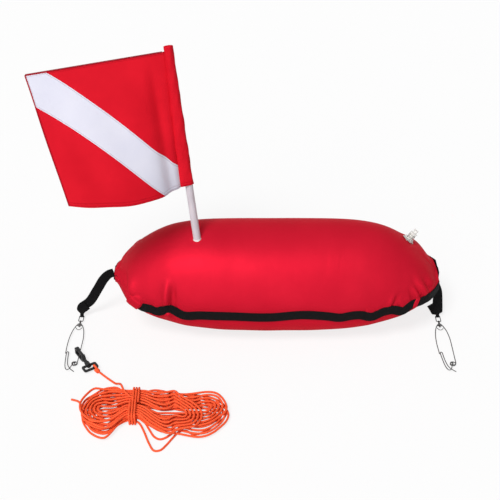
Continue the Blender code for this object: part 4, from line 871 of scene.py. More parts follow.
# The hem wraps the rod in the top edge: a ring three quarters round it with two legs down the cloth
def buildHem():
    share = np.linspace(*hem["run"], hem["stations"])
    one = np.ones_like(share)
    edge = flagPoint(share, one)
    under = flagPoint(share, one - flag["hemDepth"] / flag["hoist"])
    up = unit(edge - under)
    along = unit(np.array(flag["flyTop"]))
    facing = unit(np.cross(np.broadcast_to(along, up.shape), up))
    inner = flag["rodRadius"] + flag["gap"]
    leg = flag["thickness"] / 2 + flag["gap"]
    opening = math.asin(leg / inner)
    edge = edge + facing * (flag["thickness"] + flag["gap"])
    centre = edge - up * inner * hem["sunk"]
    angle = np.linspace(opening, 2 * np.pi - opening, hem["arc"])[None, :, None]
    arc = centre[:, None] - inner * (facing[:, None] * np.sin(angle) + up[:, None] * np.cos(angle))
    first = (edge - up * flag["hemDepth"] - facing * leg)[:, None]
    last = (edge - up * flag["hemDepth"] + facing * leg)[:, None]
    points = np.concatenate([first, arc, last], 1)
    place = np.linspace(0, hem["clothWidth"], points.shape[1])
    uv = np.stack(np.meshgrid(share * flag["clothWidth"], place, indexing="ij"), -1)
    item = surface("flagHem", points, uv)
    thicken(item, flag["thickness"], -1)
    enlist(item, "flag", "flag_hem")
    return item


# Flat sizes come from the edges' lengths and the hoist; a triangle's area is half its width times its height
def buildPanels(hemItem):
    hoist, top, bottom = flag["hoist"], flag["topWidth"], flag["bottomWidth"]
    upperStart, lowerEnd = flag["stripeHoist"] + flag["overlap"], flag["stripeFly"] - flag["overlap"]
    heights, edges = (upperStart, 1), (lambda height: 0 * height, stripeNear)
    flat = (top * flag["stripeTop"], hoist * (1 - flag["stripeHoist"]))
    area = 0.5 * flat[0] * flat[1]
    hems = {"with_pieces": [hemItem]}
    upper = buildPanel("flagFieldUpper", "flag_field_upper", "flag_red", heights, edges, flat, area, **hems)
    edges = (
        lambda height: np.maximum(0, stripeNear(height)),
        lambda height: np.minimum(1, stripeFar(height)),
    )
    area = flag["stripeShare"] * top * hoist
    stripe = buildPanel("flagStripe", "flag_stripe", "flag_white", (0, 1), edges, (top, hoist), area)
    heights, edges = (0, lowerEnd), (stripeFar, lambda height: 0 * height + 1)
    flat = (bottom * (1 - flag["stripeBottom"]), hoist * flag["stripeFly"])
    area = 0.5 * flat[0] * flat[1]
    lower = buildPanel("flagFieldLower", "flag_field_lower", "flag_red", heights, edges, flat, area)
    return upper, stripe, lower


flagSleeve = buildSleeve()
flagHem = buildHem()
fieldUpper, flagStripe, fieldLower = buildPanels(flagHem)
print("flag made")

# Snap hook: where its loop and the line's knot are
hook = {
    "direction": (0.549, -0.835),
    "wireAcross": 0.0178,
    "wireAlong": 0.655 * 0.171,
    "eyeLength": 0.030,
    "noseRun": 0.0098,
    "shank": 0.019,
    "barrel": 0.008,
    "bar": 0.0055,
    "slotHeight": 0.010,
    "slotLength": 0.027,
    "thickness": 0.004,
    "gap": 0.0003,
}
# Line: a hank tied at its waist, wound in loops that spiral in and out again, layer on layer
line = {
    "radius": 0.0025,
    "gap": 0.0009,
    "left": -0.440,
    "right": -0.112,
    "middle": -0.378,
    "waist": -0.322,
    "waistShift": 0.012,
    "lobeLeft": 0.070,
    "lobeRight": 0.058,
    "waistHalf": 0.0385,
    "waistFlat": 0.013,
    "waistReach": 0.058,
    "layers": 4,
    "loops": 5,
    "core": 0.4,
    "blunt": 1.5,
    "layerShift": 0.009,
    "step": 0.0085,
    "runs": (0.0, 0.02, 0.08, 0.18, 0.275, 0.32, 0.396, 0.455, 0.58, 0.76, 0.90, 0.975),
    "slack": ((0, -0.322, -0.208, 0.062), (1, -0.312, -0.206, 0.038), (0, -0.215, -0.140, 0.018)),
    "slackRuns": (0.0, 0.02, 0.08, 0.18, 0.275)
    + (0.32, 0.36, 0.40, 0.44, 0.48, 0.52, 0.56, 0.60, 0.64, 0.68)
    + (0.72, 0.78, 0.85, 0.92, 0.975),
    "halfRun": 0.25,
    "lastTurn": 0.13,
    "lastDepth": 2.25,
    "lastStations": 5,
    "tieTurns": 3,
    "lead": (
        (-0.4020, -0.2540, 0.0050),
        (-0.3850, -0.2680, 0.0030),
        (-0.3740, -0.2800, 0.0060),
        (-0.3640, -0.2940, 0.0180),
        (-0.3560, -0.3120, 0.0310),
        (-0.3480, -0.3320, 0.0330),
    ),
    "leadEnd": -0.3520,
    "tail": ((-0.4425, -0.3540, 0.0025), (-0.4520, -0.3370, 0.0025), (-0.4680, -0.3300, 0.0025)),
    "wander": (0.0085, 0.4, 0.03),
    "wanderWaves": (0.036, 1.9, 0.4, 0.019, -2.1, 0.03),
    "topLevel": (2.95, 0.35),
    "shortTop": 0.058,
    "shortReach": 0.12,
    "frontTop": 0.012,
    "freeBack": (0.078, 0.01),
    "sides": 10,
    "spacing": 0.0022,
}


# The wire's place that the hook hangs on, with along and across turned to the hook's direction
def hookPoint(along, across, height):
    start = clipPoint("left", hook["wireAcross"], hook["wireAlong"])
    forwards = unit(np.array((*hook["direction"], 0.0)))
    sideways = np.array((-forwards[1], forwards[0], 0))
    return start * (1, 1, 0) + forwards * along + sideways * across + np.array((0, 0, height))


shankHeight = 2 * line["radius"] + 2 * hook["gap"] + hook["thickness"] / 2
loopStart = hook["eyeLength"] - hook["noseRun"] + hook["shank"] + hook["gap"] + hook["barrel"]
farBar = loopStart + hook["bar"] + hook["slotHeight"] + hook["bar"] / 2
layerStep = 2 * line["radius"] + line["gap"]


# 1 at the hank's tied waist, falling smoothly to 0 in the lobes
def waistWindow(along):
    away = np.abs(along - line["waist"])
    return 1 - ease((away - line["waistFlat"]) / (line["waistReach"] - line["waistFlat"]))


# The hank's middle line, shifted back at the waist
def hankMiddle(along):
    return line["middle"] + line["waistShift"] * waistWindow(along)


# Half width: linear from lobe to lobe, drawn in at the waist
def hankHalfWidth(along):
    share = (along - line["left"]) / (line["right"] - line["left"])
    lobe = line["lobeLeft"] + (line["lobeRight"] - line["lobeLeft"]) * share
    return lobe + (line["waistHalf"] - lobe) * waistWindow(along)


# Loops in from the outside: up and down again over two layers, then in at the last turn
def hankDepth(turns):
    last = line["layers"] * line["loops"]
    phase = (turns + line["halfRun"]) % (2 * line["loops"])
    wound = np.minimum(phase, 2 * line["loops"] - phase)
    leaving = line["lastDepth"] * ease((turns - last) / line["lastTurn"])
    return np.where(turns >= last, leaving, wound) - line["halfRun"]


# Along by share of the run, across by a blunt loop's width, up by the layers climbed so far
def hankPlace(turns, share, side, slack):
    depth = hankDepth(turns)
    waist = (line["waist"] - line["left"]) / (line["right"] - line["left"])
    pull = np.where(share < waist, 1 - share / waist, (waist - share) / (1 - waist))
    along = line["left"] + (line["right"] - line["left"]) * share + depth * line["step"] * pull
    part = 1 - depth / (line["loops"] + line["core"])
    rounding = np.minimum(0.5, line["blunt"] * line["lobeRight"] * part / (line["right"] - line["left"]))
    inward = np.clip(np.minimum(share, 1 - share) / rounding, 0, 1)
    spread = np.sqrt(1 - (1 - inward) ** 2) * hankHalfWidth(along)
    climbs = sum(ease((turns - line["loops"] * layer) * 2 + 1) for layer in range(1, line["layers"]))
    climbs = climbs + ease((turns - line["loops"] * line["layers"]) / line["lastTurn"] + 1)
    height = line["radius"] + layerStep * (climbs + waistWindow(along))
    aside = line["layerShift"] * np.cos(np.pi * climbs) * (1 - waistWindow(along))
    across = hankMiddle(along) + aside + side * spread * part
    reach = 0 * along
    for slackTurn, first, last, size in line["slack"]:
        inside = (slack == slackTurn) & (along > first) & (along < last)
        reach = reach + np.where(inside, size * np.sin(np.pi * (along - first) / (last - first)) ** 2, 0)
    return np.stack([along, across - reach, height], -1)


# Each turn runs out in front and back behind; a turn with slack has more places in front
def hankPoints():
    turns, shares, sides, slack = [], [], [], []
    loops = line["layers"] * line["loops"]
    slackTurns = {entry[0] for entry in line["slack"]}
    for turn in range(loops):
        run = line["slackRuns"] if turn in slackTurns else line["runs"]
        back = (1.0, *reversed(line["runs"][1:]))
        turns += [turn + share / 2 for share in run] + [turn + 1 - share / 2 for share in back]
        shares += [*run, *back]
        sides += [-1] * len(run) + [1] * len(back)
        slack += [turn] * len(run) + [-1] * len(back)
    last = line["runs"][: line["lastStations"]]
    turns += [loops + share / 2 for share in last]
    shares += last
    sides += [-1] * len(last)
    slack += [-1] * len(last)
    points = hankPlace(np.array(turns), np.array(shares), np.array(sides), np.array(slack))
    first = points[:1] - (0, 2 * line["radius"], 0)
    return np.concatenate([points[:1], first, points[1:]])


# A rectangle's outline with its corners rounded by quarter circles: corners are (across, height, radius)
def roundedOutline(corners, steps):
    places, radii = [np.array(corner[:2]) for corner in corners], [corner[2] for corner in corners]
    points = []
    for index, (place, radius) in enumerate(zip(places, radii)):
        if radius == 0:
            points.append(place[None])
            continue
        before = unit(places[index - 1] - place)
        after = unit(places[(index + 1) % len(places)] - place)
        centre = place + (before + after) * radius
        angle = np.linspace(0, np.pi / 2, steps + 1)[:, None]
        points.append(centre - radius * (after * np.cos(angle) + before * np.sin(angle)))
    return np.concatenate(points)


# Turns of a rounded outline round the waist, each a layer's step further along
def tiePoints():
    middle = float(hankMiddle(np.array(line["waist"])))
    half = line["waistHalf"] * (1 + line["halfRun"] / (line["loops"] + line["core"])) + layerStep
    top = line["radius"] + (line["layers"] + 1) * layerStep
    corners = (
        (middle, top, 0),
        (middle - half, top, layerStep),
        (middle - half, line["radius"], layerStep),
        (middle, line["radius"], 0),
        (middle + half, line["radius"], layerStep),
        (middle + half, top, layerStep),
    )
    outline = roundedOutline(corners, 8)
    outline = np.concatenate([np.tile(outline, (line["tieTurns"], 1)), outline[:1]])
    run = runLength(outline)
    along = line["waist"] + (run / run[-1] - 0.5) * line["tieTurns"] * layerStep
    return np.stack([along, outline[:, 0], outline[:, 1]], -1)


# Where the tie's left side lies on top, at a place across
def tieFace(tie, across):
    top = tie[:, 2].max()
    before, after = tie[:-1], tie[1:]
    low, high = np.minimum(before[:, 1], after[:, 1]), np.maximum(before[:, 1], after[:, 1])
    onTop = (low <= across) & (across <= high) & (high > low)
    onTop &= np.minimum(before[:, 2], after[:, 2]) > top - hook["gap"]
    share = (across - before[onTop, 1]) / (after[onTop, 1] - before[onTop, 1])
    along = before[onTop, 0] + (after[onTop, 0] - before[onTop, 0]) * share
    return np.array((along.min() - line["radius"] - hook["gap"], across, top))


# Sideways wandering by two sines, more in the upper layers, so that layers cross each other at slight angles
# The top layer is shorter in the right lobe and lies further forwards
def wander(path):
    x, y, z = path.T
    level = z / layerStep - waistWindow(x)
    size, least, over = line["wander"]
    free = (1 - waistWindow(x)) * ease((x - line["left"]) / over) * ease((line["right"] - x) / over)
    back, over = line["freeBack"]
    free = free * ease((line["middle"] + back - y) / over)
    broad, lean, part, fine, fineLean, across = line["wanderWaves"]
    shift = np.sin(x / broad + lean * level) + part * np.sin(x / fine + fineLean * level + y / across)
    moved = path.copy()
    moved[:, 1] += size * free * shift * np.clip(level - least, 0, 1)
    start, over = line["topLevel"]
    top = ease((level - start) / over)
    right = ease((x - line["waist"] - line["waistReach"]) / line["shortReach"])
    moved[:, 0] -= line["shortTop"] * top * right
    moved[:, 1] -= line["frontTop"] * top * right
    return moved


# A tube along a path with even steps
def ropePiece(name, node, path, spacing, reference=(0, 0, 1)):
    path = evenPath(path, spacing)
    item = tube(name, path, line["radius"], line["sides"], reference)
    outwardFaces(item)
    enlist(item, "line", node)
    return item, path


# The knot: a loop round the hook's bar, its two legs meeting in three wraps round the leaving line
knot = {
    "side": 0.32,
    "away": 0.0125,
    "legs": 0.008,
    "corner": 0.003,
    "turns": 3.25,
    "halfLength": 0.0042,
    "wrapRadius": 0.0034,
    "loopWire": 0.0025,
    "wrapWire": 0.0023,
    "front": 0.0056,
    "roll": -18,
    "sides": 12,
    "stations": 90,
}


# The loop goes round the bar; each wrap's place is along the leaving line plus a circle across it
def buildKnot(sideShare, lump, leaving):
    clear = hook["gap"] + line["radius"]
    low, high = farBar - hook["bar"] / 2 - clear, farBar + knot["legs"]
    rise = hook["thickness"] / 2 + clear
    corners = (low, -rise), (high, -rise), (high, rise), (low, rise)
    outline = roundedOutline([(*corner, knot["corner"]) for corner in corners], 8)
    outline = np.roll(outline, knot["roll"], 0)
    forwards = unit((*hook["direction"], 0.0))
    ring = hookPoint(0, sideShare, shankHeight) + outline[:, :1] * forwards + outline[:, 1:] * (0, 0, 1.0)
    ring = evenPath(np.concatenate([ring, ring[:1]]), 0.001)
    across = unit(np.cross(leaving, (0, 0, 1)))
    upward = np.cross(across, leaving)
    turn = np.linspace(0, 2 * knot["turns"] * np.pi, knot["stations"])[:, None]
    along = np.linspace(-knot["halfLength"], knot["halfLength"], knot["stations"])[:, None]
    wraps = lump + leaving * along + knot["wrapRadius"] * (across * np.cos(turn) + upward * np.sin(turn))
    items = [
        tube("lineKnotLoop", ring, knot["loopWire"], knot["sides"], across, domed=False),
        tube("lineKnotWraps", evenPath(wraps, 0.0012), knot["wrapWire"], knot["sides"], tuple(leaving)),
    ]
    for item in items:
        outwardFaces(item)
        enlist(item, "line", "rope_knot")
    return items


# The tie first, then the hank with its last end against it, the lead from the knot to the tie, and the tail
def buildLine():
    thick = 2 * line["radius"]
    tie, tiePath = ropePiece("lineTie", "rope_tie", tiePoints(), 0.0016, (1, 0, 0))
    places = tiePoints()
    points = hankPoints()
    end = tieFace(places, points[-1, 1])
    points = np.concatenate([points[:-1], [end - (thick, 0, 0)], [end]])
    hankPath = wander(evenPath(splineThrough(points, 6), line["spacing"]))
    hank, hankPath = ropePiece("lineHank", "rope_hank", hankPath, line["spacing"])
    sideShare = knot["side"] * hook["slotLength"]
    lump = hookPoint(farBar + knot["away"], sideShare, shankHeight)
    leaving = unit(np.array(line["lead"][0]) - lump)
    end = tieFace(places, line["leadEnd"])
    start = lump + leaving * (knot["front"] + hook["gap"])
    route = np.array([start + leaving * thick, *line["lead"], end - (thick, 0, 0)])
    leadPath = np.concatenate([[start], splineThrough(route, 8), [end]])
    lead, leadPath = ropePiece("lineLead", "rope_lead", leadPath, 0.0015)
    start = points[0] + (0, hook["gap"], 0)
    route = np.array([start + (0, thick, 0), *line["tail"]])
    tailPath = np.concatenate([[start], splineThrough(route, 8)])
    tail, tailPath = ropePiece("lineTail", "rope_tail", tailPath, 0.0015)
    knotItems = buildKnot(sideShare, lump, leaving)
    return [tie, hank, lead, tail, *knotItems]


linePieces = buildLine()
print("line made")


# Sets inputs: a value sets a socket, a socket links to it
def feed(tree, item, inputs):
    for index, value in dict(inputs).items():
        if isinstance(value, bpy.types.NodeSocket):
            tree.links.new(value, item.inputs[index])
        else:
            item.inputs[index].default_value = value
    return item


def node(tree, kind, inputs=(), **settings):
    item = tree.nodes.new(kind)
    for label, value in settings.items():
        setattr(item, label, value)
    return feed(tree, item, inputs)


def maths(tree, operation, first, second=0.0, third=0.0, clamp=False):
    inputs = {0: first, 1: second, 2: third}
    return node(tree, "ShaderNodeMath", inputs, operation=operation, use_clamp=clamp).outputs[0]


# A value times a factor, and something added
def scaled(tree, value, factor, more):
    return maths(tree, "MULTIPLY_ADD", value, factor, more)


# Sine of a value repeated a number of times, raised to run from 0 to 1
def ripple(tree, value, repeats):
    turned = maths(tree, "MULTIPLY", maths(tree, "MULTIPLY", value, repeats), 2 * math.pi)
    return scaled(tree, maths(tree, "SINE", turned), 0.5, 0.5)


# Noise from 0 to 1 at a place
def noise(tree, place, scale, detail, **more):
    inputs = {"Vector": place, "Scale": scale, "Detail": detail, **more}
    return node(tree, "ShaderNodeTexNoise", inputs).outputs[0]


def split(tree, place):
    return node(tree, "ShaderNodeSeparateXYZ", {0: place}).outputs


# Shader node groups are built once: inputs are named with their usual values, and a place has none
def newGroup(name, inputs, *outputs):
    tree = bpy.data.node_groups.new(name, "ShaderNodeTree")
    for label, value in inputs.items():
        kind = "NodeSocketVector" if value is None else "NodeSocketFloat"
        socket = tree.interface.new_socket(label, in_out="INPUT", socket_type=kind)
        if value is not None:
            socket.default_value = value
    for label in outputs:
        tree.interface.new_socket(label, in_out="OUTPUT", socket_type="NodeSocketFloat")
    return tree, tree.nodes.new("NodeGroupInput").outputs, tree.nodes.new("NodeGroupOutput")


# Plain weave: threads one way pass over where the other way's pass under
def weaveGroup():
    tree, given, sink = newGroup("plainWeave", {"Place": None, "Threads": 900.0}, "Height", "Tint")
    first, second = split(tree, given["Place"])[:2]
    half = maths(tree, "MULTIPLY", given["Threads"], 0.5)
    warp = maths(tree, "MULTIPLY", ripple(tree, first, given["Threads"]), ripple(tree, second, half))
    weft = maths(tree, "MULTIPLY", ripple(tree, second, given["Threads"]), ripple(tree, first, half))
    tint = scaled(tree, noise(tree, given["Place"], 60.0, 4.0), 0.6, 0.2)
    feed(tree, sink, {"Height": maths(tree, "MAXIMUM", warp, weft), "Tint": tint})
    return tree


# Webbing: a chevron of slanted ribs along the strap, over cords that run its length; its tint is painted shade
# in the grooves between ribs, times random patches
def webbingGroup():
    tree, given, sink = newGroup("webbingRibs", {"Place": None}, "Height", "Tint")
    along, across = split(tree, given["Place"])[:2]
    zigzag = maths(tree, "PINGPONG", maths(tree, "ABSOLUTE", across), 0.0032)
    ribs = ripple(tree, maths(tree, "ADD", along, zigzag), 620.0)
    height = scaled(tree, ripple(tree, across, 700.0), 0.5, maths(tree, "MULTIPLY", ribs, 0.5))
    patches = scaled(tree, noise(tree, given["Place"], 120.0, 3.0), 0.8, 0.4)
    feed(tree, sink, {"Height": height, "Tint": maths(tree, "MULTIPLY", height, patches)})
    return tree


# Braid: strands crossing in two slants round a cord; place is (length, turn); its tint is painted shade,
# lighter on the strands' crowns, with noise
def braidGroup():
    tree, given, sink = newGroup("braid", {"Place": None, "Pitch": 110.0, "Strands": 4.0}, "Height", "Tint")
    along, turned = split(tree, given["Place"])[:2]
    run = maths(tree, "MULTIPLY", along, given["Pitch"])
    turn = maths(tree, "MULTIPLY", turned, given["Strands"])
    slants = []
    for operation in ("ADD", "SUBTRACT"):
        slant = maths(tree, "MULTIPLY", maths(tree, operation, run, turn), math.pi)
        slants.append(maths(tree, "ABSOLUTE", maths(tree, "SINE", slant)))
    height = maths(tree, "POWER", maths(tree, "MINIMUM", *slants), 0.5)
    tint = scaled(tree, noise(tree, given["Place"], 9.0, 3.0), 0.5, maths(tree, "MULTIPLY", height, 0.6))
    feed(tree, sink, {"Height": height, "Tint": tint})
    return tree


# Stitches: a broken line at an offset from where a distance is zero, in a dent three times as wide
def stitchGroup():
    inputs = {"Distance": 0.0, "Along": 0.0, "Offset": 0.003, "Half Width": 0.0004}
    tree, given, sink = newGroup("stitchRow", inputs, "Mask", "Dent")
    away = maths(tree, "ABSOLUTE", maths(tree, "SUBTRACT", given["Distance"], given["Offset"]))
    near = maths(tree, "SUBTRACT", 1.0, maths(tree, "DIVIDE", away, given["Half Width"]), clamp=True)
    dashes = maths(tree, "GREATER_THAN", ripple(tree, given["Along"], 330.0), 0.25)
    reach = maths(tree, "MULTIPLY", given["Half Width"], 3.0)
    dent = maths(tree, "SUBTRACT", 1.0, maths(tree, "DIVIDE", away, reach), clamp=True)
    feed(tree, sink, {"Mask": maths(tree, "MULTIPLY", near, dashes), "Dent": dent})
    return tree


# Fine unevenness: a broad and a narrow noise for tint and roughness
def unevenGroup():
    tree, given, sink = newGroup("uneven", {"Place": None, "Broad": 12.0, "Fine": 400.0}, "Broad", "Fine")
    for label, detail in (("Broad", 3.0), ("Fine", 5.0)):
        feed(tree, sink, {label: noise(tree, given["Place"], given[label], detail)})
    return tree


groups = {
    "weave": weaveGroup(),
    "webbing": webbingGroup(),
    "braid": braidGroup(),
    "stitch": stitchGroup(),
    "uneven": unevenGroup(),
}


def newMaterial(name):
    material = bpy.data.materials.new(name)
    material.use_nodes = True
    return material, material.node_tree, material.node_tree.nodes["Principled BSDF"]


def useGroup(tree, name, inputs):
    return node(tree, "ShaderNodeGroup", inputs, node_tree=groups[name]).outputs


# Colour between two by a mask
def blendColours(tree, mask, *colours):
    first, second = (each if isinstance(each, bpy.types.NodeSocket) else (*each, 1) for each in colours)
    return node(tree, "ShaderNodeMix", {0: mask, 6: first, 7: second}, data_type="RGBA").outputs[2]


def bump(tree, height, distance, strength, **normal):
    inputs = {"Strength": strength, "Distance": distance, "Height": height, **normal}
    return node(tree, "ShaderNodeBump", inputs).outputs[0]


def clothPlace(tree):
    return node(tree, "ShaderNodeUVMap", uv_map="cloth").outputs[0]


def unevenness(tree, broad, fine):
    place = node(tree, "ShaderNodeTexCoord").outputs["Object"]
    return useGroup(tree, "uneven", {"Place": place, "Broad": broad, "Fine": fine})


# Red nylon: woven, with painted shade between its threads, a soft sheen and small creases that run away from
# the seam
nylon = {
    "deep": (0.40, 0.005, 0.018),
    "bright": (0.66, 0.015, 0.036),
    "sheen": (1.0, 0.12, 0.16, 1),
    "roughness": 0.38,
    "threads": 1100.0,
    "creases": (26.0, 9.0, 1.0),
}


def nylonMaterial():
    material, tree, shader = newMaterial("red nylon")
    place = clothPlace(tree)
    weave = useGroup(tree, "weave", {"Place": place, "Threads": nylon["threads"]})
    uneven = unevenness(tree, 9.0, 300.0)
    creasePlace = node(tree, "ShaderNodeMapping", {"Vector": place, "Scale": nylon["creases"]}).outputs[0]
    creased = bump(tree, noise(tree, creasePlace, 1.0, 3.0, Distortion=0.6), 0.0022, 0.35)
    # Colour mixes broad random patches with painted shade: darker between the weave's threads, lighter on their
    # tops
    tint = scaled(tree, uneven["Broad"], 0.5, maths(tree, "MULTIPLY", weave["Height"], 0.45))
    inputs = {
        "Base Color": blendColours(tree, tint, nylon["deep"], nylon["bright"]),
        "Roughness": scaled(tree, uneven["Fine"], 0.16, nylon["roughness"]),
        "Normal": bump(tree, weave["Height"], 0.00012, 0.5, Normal=creased),
        "Specular IOR Level": 0.02,
        "Metallic": 0.3,
        "Specular Tint": nylon["sheen"],
    }
    feed(tree, shader, inputs)
    return material


# Flag cloth: seams beside the stripe, bindings, and rows of stitches at distances from the edges
flagCloth = {
    "threads": 1400.0,
    "roughness": 0.56,
    "binding": (0.32, 0.004, 0.012),
    "flyBinding": 0.0032,
    "topBinding": 0.0022,
    "hemRows": (0.0035, 0.0085),
    "seamRow": 0.003,
    "edgeRow": 0.0045,
    "ridge": 0.0016,
}


# Distances from the stripe's two seams, each linear in the height, and from the fly and the top edge
def edgeDistances(tree, across, up):
    width, hoist = flag["clothWidth"], flag["hoist"]
    rise = flag["stripeTop"] / (1 - flag["stripeHoist"]) * width / hoist
    line = scaled(tree, up, rise, -flag["stripeHoist"] * hoist * rise)
    near = maths(tree, "MULTIPLY", maths(tree, "SUBTRACT", across, line), 1 / math.hypot(1, rise))
    rise = (1 - flag["stripeBottom"]) / flag["stripeFly"] * width / hoist
    line = scaled(tree, up, rise, flag["stripeBottom"] * width)
    far = maths(tree, "MULTIPLY", maths(tree, "SUBTRACT", line, across), 1 / math.hypot(1, rise))
    return near, far, maths(tree, "SUBTRACT", width, across), maths(tree, "SUBTRACT", hoist, up)


# Colour by patches and by painted shade between the weave's threads, painted shade in the stitch dents, then
# stitches, then the bindings
def flagMaterial(name, deep, bright, stitchColour, panelled=True):
    material, tree, shader = newMaterial(name)
    place = clothPlace(tree)
    across, up = split(tree, place)[:2]
    weave = useGroup(tree, "weave", {"Place": place, "Threads": flagCloth["threads"]})
    uneven = unevenness(tree, 14.0, 500.0)
    rows = [(up, across, offset) for offset in flagCloth["hemRows"]]
    if panelled:
        near, far, fly, top = edgeDistances(tree, across, up)
        rows += [(near, up, flagCloth["seamRow"]), (far, up, flagCloth["seamRow"])]
        rows += [(fly, up, flagCloth["edgeRow"]), (top, across, flagCloth["edgeRow"])]
    mask = dent = 0.0
    for distance, along, offset in rows:
        row = useGroup(tree, "stitch", {"Distance": distance, "Along": along, "Offset": offset})
        mask = maths(tree, "MAXIMUM", mask, row["Mask"])
        dent = maths(tree, "MAXIMUM", dent, row["Dent"])
    # Painted shade between threads: lighter where the weave stands up, mixed with random patches
    tint = scaled(tree, uneven["Broad"], 0.55, maths(tree, "MULTIPLY", weave["Height"], 0.4))
    colour = blendColours(tree, tint, deep, bright)
    # Painted shade: the stitch dents are darkened
    dentShade = tuple(0.6 * part for part in deep)
    colour = blendColours(tree, maths(tree, "MULTIPLY", dent, 0.35), colour, dentShade)
    colour = blendColours(tree, mask, colour, stitchColour)
    height = maths(tree, "MULTIPLY", dent, -0.7)
    if panelled:
        flyBinding = maths(tree, "LESS_THAN", fly, flagCloth["flyBinding"])
        topBinding = maths(tree, "LESS_THAN", top, flagCloth["topBinding"])
        binding = maths(tree, "MAXIMUM", flyBinding, topBinding)
        colour = blendColours(tree, binding, colour, flagCloth["binding"])
        seams = maths(tree, "MINIMUM", maths(tree, "ABSOLUTE", near), maths(tree, "ABSOLUTE", far))
        ridge = maths(tree, "DIVIDE", seams, flagCloth["ridge"])
        height = scaled(tree, maths(tree, "SUBTRACT", 1.0, ridge, clamp=True), 0.8, height)
    ridged = bump(tree, height, 0.0006, 0.8)
    inputs = {
        "Base Color": colour,
        "Roughness": scaled(tree, uneven["Fine"], 0.12, flagCloth["roughness"]),
        "Normal": bump(tree, weave["Height"], 0.0001, 0.45, Normal=ridged),
        "Specular IOR Level": 0.03,
    }
    feed(tree, shader, inputs)
    return material


def webbingMaterial():
    material, tree, shader = newMaterial("black webbing")
    ribs = useGroup(tree, "webbing", {"Place": clothPlace(tree)})
    inputs = {
        # Darker in the rib grooves: painted shade, over random patches
        "Base Color": blendColours(tree, ribs["Tint"], (0.002, 0.002, 0.002), (0.013, 0.013, 0.014)),
        "Normal": bump(tree, ribs["Height"], 0.0004, 0.7),
        "Roughness": scaled(tree, ribs["Tint"], -0.15, 0.75),
        "Specular IOR Level": 0.05,
    }
    feed(tree, shader, inputs)
    return material


# Orange braided line, with painted shade darkening it between its strands
rope = {"deep": (0.78, 0.044, 0.014), "bright": (1.0, 0.145, 0.045), "pitch": 150.0, "strands": 4.0}


def ropeMaterial():
    material, tree, shader = newMaterial("orange line")
    inputs = {"Place": clothPlace(tree), "Pitch": rope["pitch"], "Strands": rope["strands"]}
    strands = useGroup(tree, "braid", inputs)
    fibres = noise(tree, node(tree, "ShaderNodeTexCoord").outputs["Object"], 900.0, 2.0)
    # Painted shade between strands, with fine fibre noise
    tint = scaled(tree, fibres, 0.25, maths(tree, "MULTIPLY", strands["Tint"], 0.85))
    inputs = {
        "Base Color": blendColours(tree, tint, rope["deep"], rope["bright"]),
        "Normal": bump(tree, strands["Height"], 0.0006, 0.75),
        "Roughness": scaled(tree, fibres, 0.2, 0.5),
        "Specular IOR Level": 0.15,
    }
    feed(tree, shader, inputs)
    return material


# Substances by name: two colours, broad and fine noise scales, roughness (spread, least), bump (distance,
# strength) and other inputs; light goes a little way into the milky ones
milky = {"Subsurface Weight": 0.35, "Subsurface Radius": (0.9, 0.8, 0.7), "Subsurface Scale": 0.004}
substances = {
    "steel wire": (
        ((0.045, 0.045, 0.045), (0.22, 0.22, 0.22)),
        (160.0, 1800.0), (0.3, 0.24), (0.0001, 0.5), {"Metallic": 1.0},
    ),
    "black moulded plastic": (
        ((0.003, 0.003, 0.003), (0.011, 0.011, 0.012)),
        (90.0, 1500.0), (0.25, 0.28), (0.00015, 0.5), {"Specular IOR Level": 0.3},
    ),
    "milky tube": (
        ((0.45, 0.41, 0.45), (0.62, 0.57, 0.61)),
        (25.0, 900.0), (0.2, 0.25), (0.0001, 0.3), milky,
    ),
    "dark red rod": (
        ((0.16, 0.004, 0.012), (0.30, 0.008, 0.02)),
        (25.0, 900.0), (0.2, 0.25), (0.0001, 0.3), milky,
    ),
    "clear soft plastic": (
        ((0.80, 0.80, 0.76), (0.94, 0.94, 0.92)),
        (120.0, 1100.0), (0.2, 0.1), (0.0002, 0.3), {"Transmission Weight": 0.75, "IOR": 1.45},
    ),
    "plastic film": (
        ((0.62, 0.62, 0.60), (0.76, 0.76, 0.74)),
        (40.0, 700.0), (0.2, 0.25), (0.0002, 0.3), {},
    ),
}


def substance(name):
    material, tree, shader = newMaterial(name)
    colours, scales, roughness, relief, others = substances[name]
    uneven = unevenness(tree, *scales)
    inputs = {
        "Base Color": blendColours(tree, uneven["Broad"], *colours),
        "Roughness": scaled(tree, uneven["Fine"], *roughness),
        "Normal": bump(tree, uneven["Fine"], *relief),
        **others,
    }
    feed(tree, shader, inputs)
    return material


def dress(items, material):
    for item in items:
        item.data.materials.clear()
        item.data.materials.append(material)


def dressNodes(names, material):
    dress([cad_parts[name] for name in names.split()], material)


redTones = (0.46, 0.004, 0.012), (0.78, 0.012, 0.028), (0.32, 0.003, 0.008)
whiteTones = (0.56, 0.56, 0.68), (0.76, 0.75, 0.81), (0.42, 0.20, 0.27)
film = substance("plastic film")
dress(coverPanels, nylonMaterial())
dress([airChamber], film)
dressNodes("pole_socket", film)
dress([*webbingPieces, *strapPieces], webbingMaterial())
dress([flagHem, fieldUpper, fieldLower], flagMaterial("red flag cloth", *redTones))
dress([flagSleeve], flagMaterial("red sleeve cloth", *redTones, panelled=False))
dress([flagStripe], flagMaterial("white flag cloth", *whiteTones))
dress(linePieces, ropeMaterial())
dressNodes("flag_pole", substance("milky tube"))
dressNodes("flag_stiffener", substance("dark red rod"))
dressNodes("pole_plug pole_cap hook_body hook_gate hook_loop", substance("black moulded plastic"))
dressNodes("valve_base valve_collar valve_cap valve_flap", substance("clear soft plastic"))
wires = "swivel_eye{0} swivel_guard{0} clip_frame{0} clip_arm{0} "
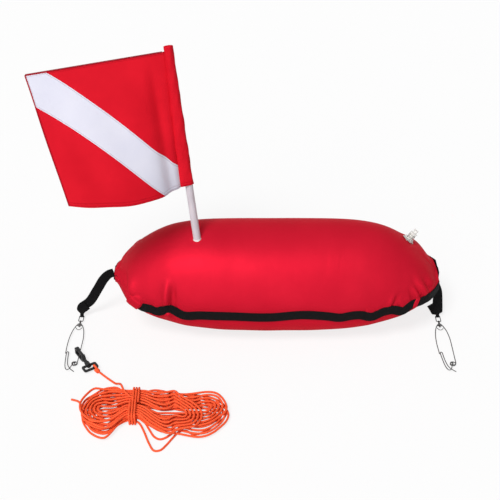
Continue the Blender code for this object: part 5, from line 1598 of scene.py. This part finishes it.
dressNodes(wires.format("_left") + wires.format("_right"), substance("steel wire"))
print("materials made")

# Studio: a pale floor that keeps the shadow, white where the camera sees past it, soft lights
studio = {
    "floor": 0.85,
    "half": 6.0,
    "white": 0.8,
    "world": 0.30,
    "suns": (("key", (-0.70, -1.0, 1.9), 22, 2.5), ("front", (-0.5, -1.6, 0.7), 50, 0.8)),
}


def buildStudio():
    half = studio["half"]
    corners = np.array([[(-half, -half, 0), (-half, half, 0)], [(half, -half, 0), (half, half, 0)]])
    floor = surface("floor", corners, flip=False)
    outwardFaces(floor, np.array((0, 0, -1.0)))
    material, tree, shader = newMaterial("pale floor")
    feed(tree, shader, {"Base Color": (studio["floor"],) * 3 + (1,), "Roughness": 0.9})
    glow = node(tree, "ShaderNodeEmission", {"Color": (1, 1, 1, 1), "Strength": 1.0})
    sees = node(tree, "ShaderNodeLightPath")
    mask = maths(tree, "MULTIPLY", sees.outputs["Is Camera Ray"], studio["white"])
    mix = node(tree, "ShaderNodeMixShader", {0: mask, 1: shader.outputs[0], 2: glow.outputs[0]})
    tree.links.new(mix.outputs[0], tree.nodes["Material Output"].inputs["Surface"])
    floor.data.materials.append(material)

    world = bpy.data.worlds.new("studio")
    bpy.context.scene.world = world
    world.use_nodes = True
    tree, back = world.node_tree, world.node_tree.nodes["Background"]
    sees = node(tree, "ShaderNodeLightPath")
    seen = maths(tree, "MAXIMUM", sees.outputs["Is Camera Ray"], sees.outputs["Is Glossy Ray"])
    seen = maths(tree, "MAXIMUM", seen, sees.outputs["Is Transmission Ray"])
    strength = scaled(tree, seen, 1.0 - studio["world"], studio["world"])
    feed(tree, back, {"Color": (1, 1, 1, 1), "Strength": strength})
    for name, place, spread, power in studio["suns"]:
        data = bpy.data.lights.new(name, "SUN")
        data.angle = math.radians(spread)
        data.energy = power
        item = bpy.data.objects.new(name, data)
        bpy.context.scene.collection.objects.link(item)
        item.location = place
        item.rotation_euler = (-Vector(place)).to_track_quat("-Z", "Y").to_euler()


buildStudio()
print("studio made")
